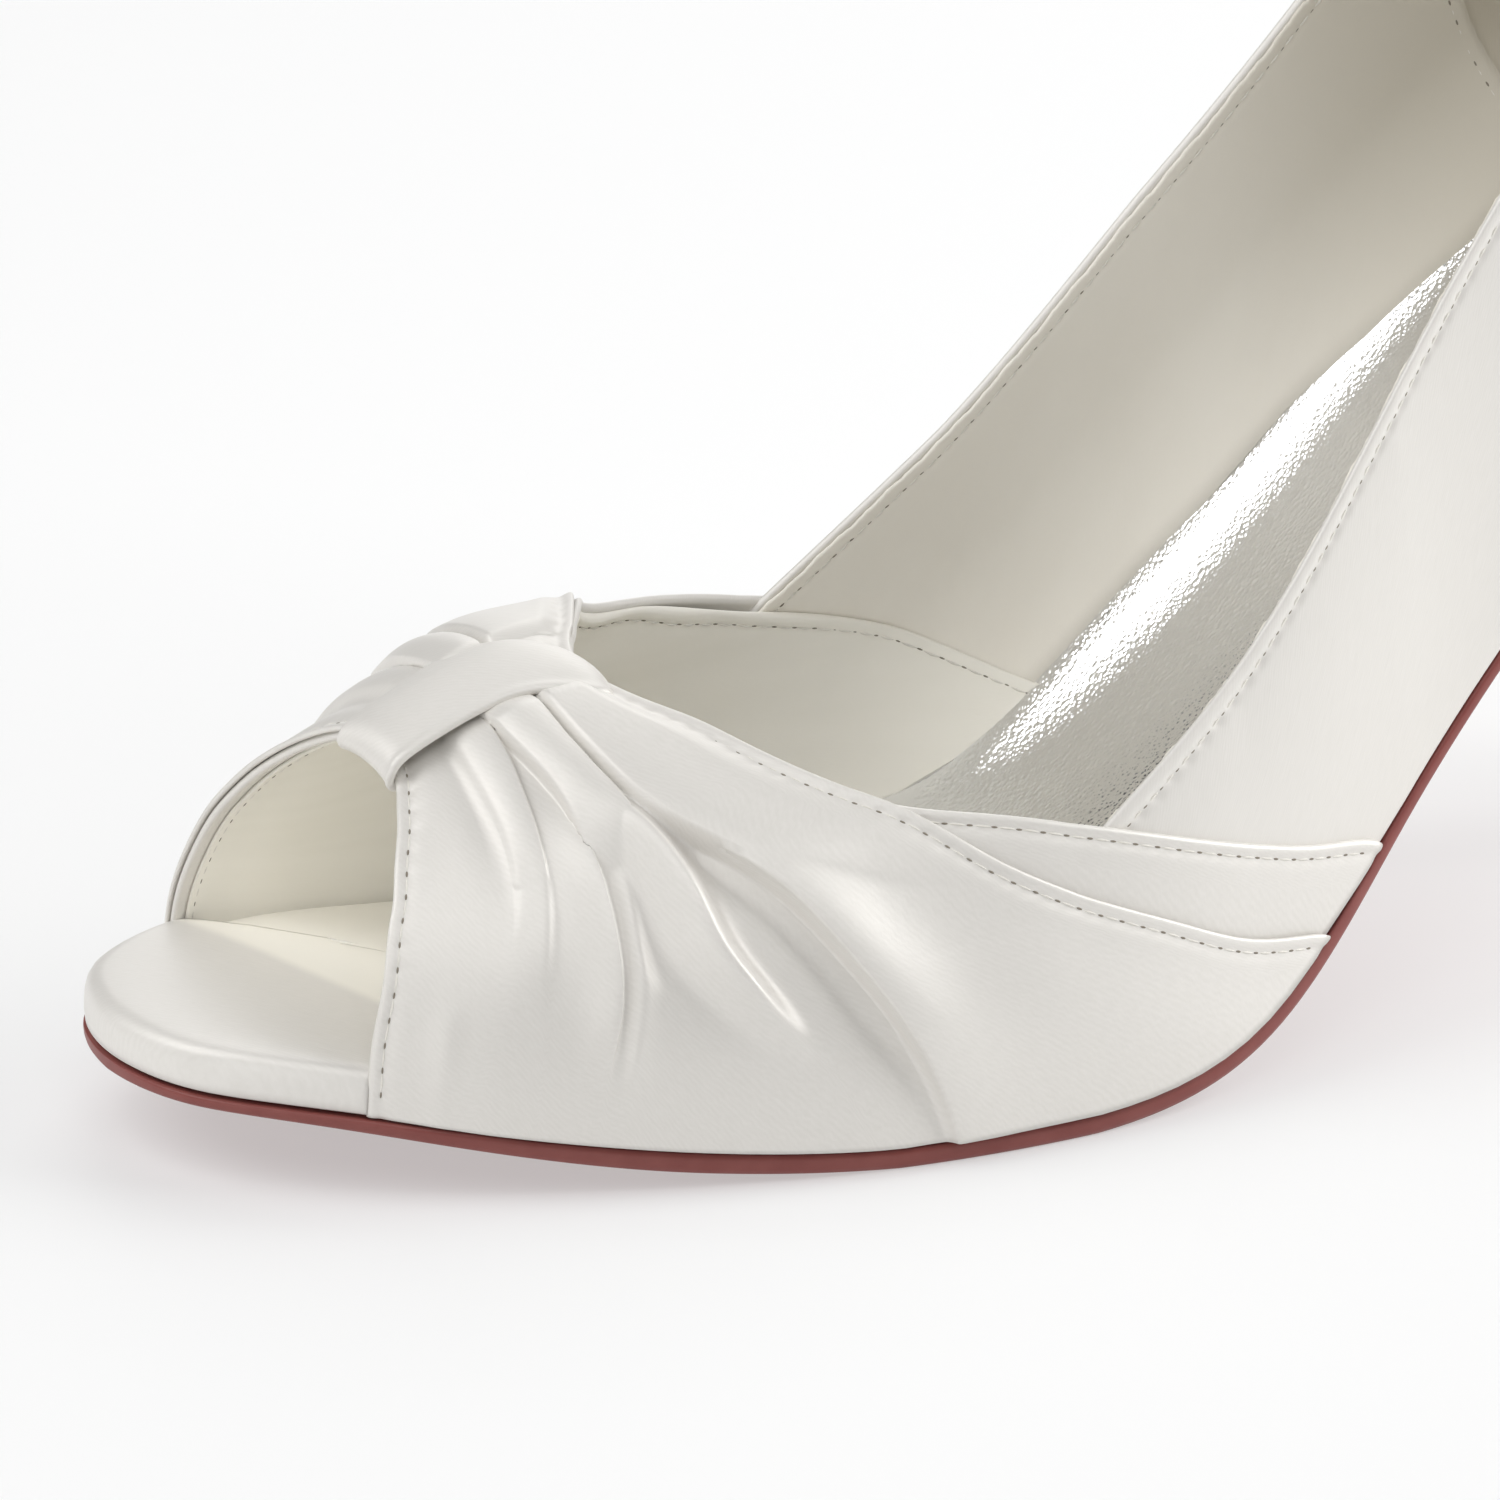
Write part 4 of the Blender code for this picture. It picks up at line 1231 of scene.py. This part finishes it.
# %% Pleat tables
PLEAT_LINES = columns_of(
    ("rise", "ripple", "narrow_front", "narrow_back", "broad_front", "broad_back", "rear"),
    (
        (0.00, 21.4, 24.0, 28.5, 34.6, 59.5, 67.7),
        (0.13, 21.9, 25.4, 29.5, 35.6, 56.0, 65.1),
        (0.22, 22.4, 26.5, 30.2, 36.4, 52.8, 62.9),
        (0.32, 23.1, 27.8, 31.0, 37.3, 49.6, 60.0),
        (0.42, 24.0, 29.0, 31.9, 37.9, 47.2, 57.1),
        (0.52, 25.0, 30.4, 32.9, 38.2, 46.2, 53.9),
        (0.62, 26.0, 31.6, 33.9, 38.4, 45.2, 49.4),
        (0.72, 27.0, 32.5, 34.5, 38.4, 43.2, 44.7),
        (0.82, 28.0, 32.8, 34.9, 37.9, 41.3, 42.3),
        (0.92, 29.0, 32.9, 35.4, 36.5, 40.1, 41.0),
        (1.00, 30.5, 33.6, 35.4, 36.0, 39.8, 40.7),
    ),
)
STRIPS = {  # front line, back line, height, front width, back width, flare, low end, fade
    "narrow": ("narrow_front", "narrow_back", 0.9, 1.5, 0.6, 0.3, 0.66, 0.16),
    "broad": ("broad_front", "broad_back", 1.9, 0.6, 0.45, 0.35, 0.68, 0.10),
}
RIDGES = {  # line, shift, height, width ahead, width behind, lean, low end, high end, fade
    "ripple": ("ripple", 0.0, 0.3, 0.9, 0.9, 0.0, -0.10, 0.34, 0.10),
    "narrow_tail": ("narrow_back", -0.5, 0.5, 3.0, 1.0, 0.1, 0.38, 0.70, 0.14),
    "broad_lip": ("broad_front", 0.0, 1.1, 2.2, 0.4, 0.25, 0.22, 0.72, 0.12),
    "inner": ("broad_front", 2.3, 0.6, 0.8, 1.2, 0.0, 0.12, 0.62, 0.10),
    "broad_tail": ("broad_back", -0.3, 2.4, 2.6, 1.6, 0.0, 0.26, 0.74, 0.12),
    "rear": ("rear", 0.5, 2.0, 0.6, 5.6, -0.9, -0.20, 0.66, 0.14),
    "rear_upper": ("rear", 0.8, 1.8, 0.9, 9.0, -0.3, 0.50, 1.30, 0.10),
}
TROUGHS = {  # line, shift, depth, width ahead, width behind, low end, high end, fade
    "before_narrow": ("narrow_front", -0.8, 0.45, 2.2, 0.6, 0.55, 1.20, 0.15),
    "valley": ("broad_back", -5.0, 0.5, 2.0, 2.0, 0.25, 0.62, 0.10),
    "before_rear": ("rear", -0.9, 1.2, 4.5, 0.6, -0.20, 0.66, 0.08),
}
TOP_OF_FOOT = 1.3  # a rise that no fold reaches, so that a strip runs on over the ridge
STRIP_CROWN = 0.2  # share of its height that a strip loses at its sides
LOFT, LOFT_REACH = 0.7, 13.0  # mm that the cloth stands off the vamp, and from how far inside a hem
HEM_LOFT, FRONT_LOFT = 0.0, -0.25  # mm at the back hem, and at the front hem, which is pressed down
GATHER, GATHER_START, GATHER_FULL = 0.3, 0.80, 0.95  # mm of gathered cloth, and the rises where it builds up
KNOT_MIDDLE = 82.0  # degrees over the foot
KNOT_PRESS = 0.5  # share that the knot takes off the pleats' height
PRESS_FULL, PRESS_END = 7.0, 13.0  # degrees from its middle where it does so in full, and where it ends
PLEAT_AT_SOLE, LASTED_RISE = 0.35, 0.25  # share of a pleat left at the sole, and the rise where all is
DRAPE_FOLD = 0.3  # mm, half the cloth's thickness
DRAPE_OFFSET = VAMP_PROUD + GAP + 2 * DRAPE_FOLD
DRAPE_SETBACK = 0.05  # mm from the opening's edge to the drape's
HEM_REACH = 3.2  # mm of hem at each edge where the rows lie close
HEM_FLAT, HEM_FREE = 0.6, 3.4  # mm from an edge where a pleat begins to rise, and where it stands in full
FRONT_STITCH = 1.15  # mm from the drape's front fold to its stitches


def one_sided(away, ahead, behind):
    """A bump that falls off differently in front and behind."""
    return np.exp(-((away / np.where(away < 0, ahead, behind)) ** 2))


def stands_between(rise, low_end, high_end, fade):
    up = smooth_step(low_end - fade, low_end + fade, rise)
    return up * (1 - smooth_step(high_end - fade, high_end + fade, rise))


def pleat_folds(station, rise):
    """How far the pleats lift the drape, and how far they lean it along the foot."""
    folds = []
    for front_line, back_line, height, front_width, back_width, flare, low_end, fade in STRIPS.values():
        ahead, behind = PLEAT_LINES[front_line](rise), PLEAT_LINES[back_line](rise)
        across = np.clip(2 * (station - ahead) / np.maximum(behind - ahead, 0.5) - 1, -1.0, 1.0)
        shape = smooth_step(-front_width, 0.0, station - ahead)
        shape = shape * (1 - smooth_step(0.0, back_width, station - behind))
        shape = shape * (1 - STRIP_CROWN * across**2) * stands_between(rise, low_end, TOP_OF_FOOT, fade)
        folds.append((height * shape, flare * across * shape))
    for line, shift, height, ahead, behind, leaning, low_end, high_end, fade in RIDGES.values():
        shape = one_sided(station - PLEAT_LINES[line](rise) - shift, ahead, behind)
        shape = shape * stands_between(rise, low_end, high_end, fade)
        folds.append((height * shape, leaning * shape))
    lift = np.zeros_like(station)
    lean = np.zeros_like(station)
    for height, leaning in folds:
        lean = np.where(height > lift, leaning, lean)
        lift = np.maximum(lift, height)
    for line, shift, depth, ahead, behind, low_end, high_end, fade in TROUGHS.values():
        shape = one_sided(station - PLEAT_LINES[line](rise) - shift, ahead, behind)
        lift = lift - depth * shape * stands_between(rise, low_end, high_end, fade)
    drawn = PLEAT_AT_SOLE + (1 - PLEAT_AT_SOLE) * smooth_step(0.0, LASTED_RISE, rise)
    return lift * drawn, lean * drawn


print("folds:", ", ".join((*STRIPS, *RIDGES, *TROUGHS)))


# %% Drape hems
def drape_front_edge(angle):
    return opening_edge(angle) + DRAPE_SETBACK


def loft(inset, at_hem):
    """How far the drape stands off the vamp at a distance from a hem."""
    return at_hem + (LOFT - at_hem) * smooth_step(0.0, LOFT_REACH, inset)


back_height = float(loft(EDGE_STITCH, HEM_LOFT)) - SINK
front_height = float(loft(FRONT_STITCH, FRONT_LOFT)) - SINK
back_hem = hem_line(drape_back_edge, -1, DRAPE_OFFSET)
front_hem = hem_line(drape_front_edge, 1, DRAPE_OFFSET)
drape_row = sew(back_hem, EDGE_STITCH, back_height, back_height)
drape_front_row = sew(front_hem, FRONT_STITCH, front_height, front_height)
print("drape: stitches", EDGE_STITCH, "and", FRONT_STITCH, "mm from its folds")


# %% Drape mesh
HEM_ROWS, AHEAD_ROWS = 12, 8  # rows in each hem, and from the front hem to the first mark
ROW_MARKS = (  # pleat line, mm behind it, rows to the next mark
    ("narrow_front", -0.7, 7),
    ("narrow_front", 0.15, 8),
    ("narrow_back", -0.1, 6),
    ("narrow_back", 0.75, 8),
    ("broad_front", -0.75, 7),
    ("broad_front", 0.1, 4),
    ("broad_front", 0.5, 7),
    ("broad_front", 3.0, 10),
    ("broad_back", -0.5, 8),
    ("broad_back", 0.6, 8),
    ("broad_back", 2.6, 10),
    ("rear", -1.2, 12),
    ("rear", 0.9, 14),
)
DRAPE_ROWS = (HEM_ROWS, AHEAD_ROWS, *(rows for line, shift, rows in ROW_MARKS), HEM_ROWS)


def drape_marks(angle, per_front, per_back):
    """Stations that the rows follow: the hems, the crests and the creases between them."""
    rise = np.sin(angle)
    front = drape_front_edge(angle) + DRAPE_FOLD * per_front
    end = drape_back_edge(angle) - DRAPE_FOLD * per_back
    marks = [front, front + HEM_REACH * per_front]
    marks += [PLEAT_LINES[line](rise) + shift for line, shift, rows in ROW_MARKS]
    marks += [end - HEM_REACH * per_back, end]
    for i in range(1, len(marks)):
        marks[i] = np.minimum(np.maximum(marks[i], marks[i - 1]), end)
    return marks


def place_drape(u, row):
    mark, front_turn, back_turn, depth = row
    angle = over_foot(u)
    rise = np.sin(angle)
    per_front = station_per_mm(drape_front_edge, angle, DRAPE_OFFSET)
    per_back = station_per_mm(drape_back_edge, angle, DRAPE_OFFSET)
    station = between(drape_marks(angle, per_front, per_back), mark)
    front_inset = (station - drape_front_edge(angle)) / per_front
    back_inset = (drape_back_edge(angle) - station) / per_back
    free = smooth_step(HEM_FLAT, HEM_FREE, front_inset) * smooth_step(HEM_FLAT, HEM_FREE, back_inset)
    gathered = GATHER * smooth_step(GATHER_START, GATHER_FULL, rise)
    from_knot = np.abs(np.degrees(angle) - KNOT_MIDDLE)
    pressed = 1 - KNOT_PRESS * (1 - smooth_step(PRESS_FULL, PRESS_END, from_knot))
    lift, lean = pleat_folds(station, rise)
    stands = np.minimum(loft(front_inset, FRONT_LOFT), loft(back_inset, HEM_LOFT))
    lift = np.maximum(stands + (lift + gathered) * pressed * free, FRONT_LOFT)
    hems = hem_relief(back_inset, drape_row(u), EDGE_STITCH)
    hems = hems + hem_relief(front_inset, drape_front_row(u), FRONT_STITCH)
    lift = lift + hems * (depth < DRAPE_FOLD)
    station = station + lean * free + front_turn * per_front + back_turn * per_back
    return lasted(station, angle, DRAPE_OFFSET + lift - depth)


drape_rows = np.concatenate(
    [i + np.arange(count) / count for i, count in enumerate(DRAPE_ROWS)] + [[len(DRAPE_ROWS)]]
)
drape_section = section_rows(drape_rows, DRAPE_FOLD, inner_step=3)
drape = layer("pleated_drape", 420, drape_section, place_drape, ivory_satin, "vamp_drape")

# %% [markdown]
# ## Knot band
# A short folded strip of satin is wrapped over the gathered pleats, out from under the drape's front edge,
# over the ridge and into the throat, like the loop of a bow tie. Its table follows it along: where it lies
# between the opening and the throat, how far it stands off, its middle and half width as turns over the
# foot, and how its ends slant and bow.

# %% Knot band
BAND_FOLD = 0.35  # mm, half the band's thickness
BAND_CROWN = 0.25  # mm that the band's middle stands over its sides
BEAD, BEAD_WIDTH = 0.16, 0.1  # mm, and share of half the width, of the folded rim on the outer side
STEP_ALONG, STEP_ACROSS = 0.01, 0.02  # small steps that give the band's own directions
BAND = columns_of(
    ("along", "share", "offset", "turn", "half_turn", "skew", "bow"),
    (
        (0.00, 0.20, 0.9, 80.5, 9.6, 0.0, 0.0),
        (0.08, 0.06, 0.9, 80.5, 9.8, 0.0, 0.0),
        (0.13, -0.03, 1.0, 80.8, 10.2, 0.03, 0.0),
        (0.17, -0.055, 1.5, 81.0, 10.5, 0.05, 0.0),
        (0.22, -0.03, 2.5, 81.2, 10.7, 0.04, 0.0),
        (0.30, 0.09, 3.1, 82.3, 10.8, 0.0, 0.0),
        (0.50, 0.45, 3.2, 84.7, 11.0, 0.0, 0.02),
        (0.70, 0.80, 2.8, 81.0, 10.1, 0.0, 0.10),
        (0.77, 0.91, 2.3, 78.7, 10.3, 0.0, 0.13),
        (0.82, 0.965, 1.5, 78.2, 10.2, 0.0, 0.14),
        (0.87, 0.985, 0.4, 77.8, 10.0, 0.0, 0.14),
        (0.92, 0.98, -0.7, 77.4, 10.0, 0.0, 0.14),
        (0.96, 0.94, -1.1, 77.4, 10.0, 0.0, 0.14),
        (1.00, 0.88, -1.2, 77.4, 10.0, 0.0, 0.14),
    ),
)
BOW_MIDDLE = 0.3  # share of half the width, on the outer side, where the band reaches furthest back


def band_path(along, across):
    """A point of the band's inner face: across goes from -1 on the inner side to 1 on the outer side."""
    angle = np.radians(BAND["turn"](along) - across * BAND["half_turn"](along))
    front = opening_edge(angle)
    bowed = BAND["bow"](along) * (across - BOW_MIDDLE) ** 2
    share = BAND["share"](along) + BAND["skew"](along) * across - bowed
    station = front + (EDGES["drape_back"](np.degrees(angle)) - front) * share
    return lasted(station, angle, BAND["offset"](along))


def place_band(u, row):
    across, inner_turn, outer_turn, depth = row
    here = band_path(u, across)
    ahead, behind = np.minimum(u + STEP_ALONG, 1.0), np.maximum(u - STEP_ALONG, 0.0)
    run = band_path(ahead, across) - band_path(behind, across)
    out = np.stack((np.zeros_like(u), -run[:, 2], run[:, 1]), -1)
    out /= np.linalg.norm(out, axis=1, keepdims=True)
    wide = band_path(u, across + STEP_ACROSS) - band_path(u, across - STEP_ACROSS)
    wide /= np.linalg.norm(wide, axis=1, keepdims=True)
    bead = BEAD * np.exp(-(((1 - across) / BEAD_WIDTH) ** 2))
    crown = (BAND_CROWN * (1 - across**2) + bead) * (depth < BAND_FOLD)
    here = here + wide * (inner_turn + outer_turn)[:, None]
    return here + out * (2 * BAND_FOLD - depth + crown)[:, None]


band_rows = section_rows(np.linspace(-1, 1, 61), BAND_FOLD, 8)
band = layer("knot_band_satin", 150, band_rows, place_band, ivory_satin, "knot_band")

# %% [markdown]
# ## Heel
# The heel lies outside the photo, so it is finished as such a shoe has it: a slim block covered in the same
# satin, curved in under the seat, with a small rubber top piece. Rings from the seat down to the tip give
# the form, and smooth curves through their sizes fill in between.

# %% Covered heel
TIP_HEIGHT = 6.4  # mm, thickness of the top piece
HEEL_INSET = 0.4  # mm that the heel stays inside the feather line
HEEL_STEPS = 56  # rings of the mesh
HEEL_SIZES = ("ring", "seat_share", "level", "front", "middle", "back", "half_width", "front_power")
HEEL_ROWS = (
    (0, 1.00, 50.0, BREAST, 191.0, 217.5, 26.0, 6.0),
    (1, 0.82, 56.0, 174.4, 192.5, 216.9, 24.4, 4.5),
    (2, 0.56, 57.0, 180.5, 195.5, 215.7, 20.0, 3.2),
    (3, 0.33, 57.0, 187.5, 198.5, 214.2, 15.0, 2.5),
    (4, 0.14, 52.0, 192.8, 201.3, 212.7, 10.8, 2.2),
    (5, 0.00, 38.0, 195.8, 203.0, 211.3, 7.9, 2.0),
    (6, 0.00, 21.0, 197.2, 203.4, 210.1, 6.2, 2.0),
    (7, 0.00, TIP_HEIGHT + GAP, 197.8, 203.5, 209.3, 5.6, 2.0),
)
HEEL = columns_of(HEEL_SIZES, HEEL_ROWS)
LAST_RING = HEEL_ROWS[-1][0]


def heel_outline(u, ring):
    """A ring in plan, once round from the back: across and station."""
    ahead, side = np.cos(2 * np.pi * u), np.sin(2 * np.pi * u)
    power = 2 / np.where(ahead >= 0, 2.0, HEEL["front_power"](ring))
    middle = HEEL["middle"](ring)
    reach = np.where(ahead >= 0, HEEL["back"](ring) - middle, middle - HEEL["front"](ring))
    station = middle + reach * np.sign(ahead) * np.abs(ahead) ** power
    return HEEL["half_width"](ring) * np.sign(side) * np.abs(side) ** power, station


def place_heel(u, index):
    ring = LAST_RING * index / HEEL_STEPS
    x, station = heel_outline(u, ring)
    limit = outline(station, HEEL_INSET)
    x = np.clip(x, -limit, limit)
    share = np.clip(HEEL["seat_share"](ring), 0.0, 1.0)
    return np.stack((x, station, share * (bottom(station) - GAP) + (1 - share) * HEEL["level"](ring)), -1)


finish_piece("covered_heel", grid_mesh(96, HEEL_STEPS, place_heel), ivory_satin, "heel")

# %% Top piece
TIP_STEPS = ((1.0, 0.0), (1.0, 0.06), (0.98, 0.92), (0.94, 1.0))  # size, share of the way down


def place_tip(u, index):
    size, down = np.array(TIP_STEPS)[index].T
    x, station = heel_outline(u, np.full_like(u, LAST_RING))
    middle = HEEL["middle"](LAST_RING)
    return np.stack((x * size, middle + (station - middle) * size, TIP_HEIGHT * (1 - down)), -1)


top_piece = grid_mesh(64, len(TIP_STEPS) - 1, place_tip)
finish_piece("top_piece_rubber", top_piece, heel_rubber, "top_piece")

# %% [markdown]
# ## Stitches
# Each stitch is a short thread that comes out of one needle hole and goes down the next. Its mesh is a
# small grid rolled to a tube and bent over in an arch, and one loop lays hundreds of them along the rows
# that the hems noted. They are all one piece, because on the shoe they are one thread. Between them each
# needle hole gets a small flattened ball in a dark colour in the groove, painted shade for the shadow in the
# hole.

# %% Lay the stitches
STITCH_SHARE = 0.74  # share of the pitch that the thread shows
ARCH, END_DIP = 0.12, 0.08  # mm that the thread's middle rises over its ends, and that these dip
END_THICK = 0.35  # share of its thickness that the thread keeps at its ends
AROUND, ALONG = 5, 4  # faces round a thread and along it
HOLE = (0.32, 0.11, 0.05)  # mm, half the length, width and height of a hole's dark ball of painted shade


def lay_stitch(mesh, middle, run, side, out):
    """One arched thread at a place, along run and standing out."""
    made = bmesh.ops.create_grid(mesh, x_segments=AROUND, y_segments=ALONG, size=0.5)["verts"]
    for vert in made:
        turn = 2 * np.pi * (vert.co.x + 0.5)
        along = vert.co.y
        thick = THREAD * (END_THICK + (1 - END_THICK) * np.cos(np.pi * along))
        arch = ARCH * np.cos(np.pi * along) - END_DIP
        place = middle + run * (along * STITCH_PITCH * STITCH_SHARE) + out * arch
        vert.co = to_scene(place + thick * (np.cos(turn) * side + np.sin(turn) * out))


def lay_hole_shadow(mesh, middle, run, side, out):
    """One dark ball at a place, painted shade for a needle hole."""
    made = bmesh.ops.create_uvsphere(mesh, u_segments=8, v_segments=4, radius=1.0)["verts"]
    for vert in made:
        x, y, z = np.array(vert.co) * HOLE
        vert.co = to_scene(middle + x * run + y * side + z * out)


def row_frames(point, inset, height, u, lengths, shift):
    """Places along a row, one in each pitch, each with the row's direction, the side and the way out."""
    at = np.interp(np.arange(1 + shift, lengths[-1] / STITCH_PITCH - 0.5) * STITCH_PITCH, lengths, u)
    small = 1e-4
    middles = point(at, inset, height)
    runs = point(at + small, inset, height) - point(at - small, inset, height)
    outs = point(at, inset, height + 0.1) - middles
    for middle, run, out in zip(middles, runs, outs):
        run = run / np.linalg.norm(run)
        out = out - run * np.dot(out, run)
        out = out / np.linalg.norm(out)
        yield middle, run, np.cross(out, run), out


def lay_rows(lay, shift, heights):
    """Lays a stitch or a hole in each pitch of every row, with a small mesh for each row to stay quick."""
    whole = bmesh.new()
    for (point, inset, u, lengths), height in zip(stitch_rows, heights):
        row = bmesh.new()
        for place in row_frames(point, inset, height, u, lengths, shift):
            lay(row, *place)
        part = bpy.data.meshes.new("row")
        row.to_mesh(part)
        row.free()
        whole.from_mesh(part)
        bpy.data.meshes.remove(part)
    return whole


finish_piece("stitches", lay_rows(lay_stitch, 0.0, thread_heights), ivory_thread, merge=1e-7)
finish_piece("needle_hole_shadows", lay_rows(lay_hole_shadow, 0.5, hole_heights), hole_shadow_look, merge=1e-7)
print("stitch rows:", len(stitch_rows))

# %% [markdown]
# ## Floor and light
# The photo is high key: a white ground and soft light from all round. Eight soft boxes stand round the
# shoe, and the strongest, on the heel's side of the camera, models the folds. The floor is a plain pale
# sheet that glows a little, so that the ground stays white, and the world is almost dark.

# %% Floor
FLOOR_SIZE = 8.0  # metres from the middle to a side
FLOOR_GLOW = 0.445
floor_mesh = bmesh.new()
bmesh.ops.create_grid(floor_mesh, x_segments=8, y_segments=8, size=FLOOR_SIZE)
floor_data = bpy.data.meshes.new("floor")
floor_mesh.to_mesh(floor_data)
floor_mesh.free()
floor = bpy.data.objects.new("floor", floor_data)
bpy.context.scene.collection.objects.link(floor)
pale_floor, tree, shader = new_material("pale_floor", Roughness=0.6, Specular_IOR_Level=0.15)
shader.inputs["Base Color"].default_value = linear("#B4B4B4")
shader.inputs["Emission Color"].default_value = linear("#FFFFFF")
shader.inputs["Emission Strength"].default_value = FLOOR_GLOW
floor_data.materials.append(pale_floor)
print("floor:", 2 * FLOOR_SIZE, "m square")

# %% Light
SURROUND = 0.02  # strength of the world's light
BOX_DISTANCE, BOX_SIZE = 1.1, 0.7  # metres
SOFTBOXES = {  # azimuth and elevation in degrees, watts
    "toe": (-30.0, 30.0, 2.5),
    "toe_low": (30.0, 8.0, 2.4),
    "front": (-10.0, 50.0, 4.1),
    "over": (60.0, 50.0, 2.9),
    "rear": (150.0, 30.0, 7.7),
    "heel_low": (180.0, 18.0, 5.0),
    "far_low": (240.0, 18.0, 1.9),
    "far_high": (240.0, 50.0, 2.9),
}
world = bpy.data.worlds.new("soft_surround")
world.use_nodes = True
world.node_tree.nodes["Background"].inputs["Color"].default_value = linear("#FFFFFF")
world.node_tree.nodes["Background"].inputs["Strength"].default_value = SURROUND
bpy.context.scene.world = world
for name, (azimuth, elevation, watts) in SOFTBOXES.items():
    lamp = bpy.data.lights.new(name, "AREA")
    lamp.size = BOX_SIZE
    lamp.energy = watts
    turn, tilt = np.radians((azimuth, elevation))
    direction = Vector((np.sin(turn) * np.cos(tilt), -np.cos(turn) * np.cos(tilt), np.sin(tilt)))
    box = bpy.data.objects.new(name, lamp)
    box.location = direction * BOX_DISTANCE
    box.rotation_euler = direction.to_track_quat("Z", "Y").to_euler()
    bpy.context.scene.collection.objects.link(box)
bpy.context.scene.view_settings.view_transform = "Standard"
print("lamps:", ", ".join(SOFTBOXES))
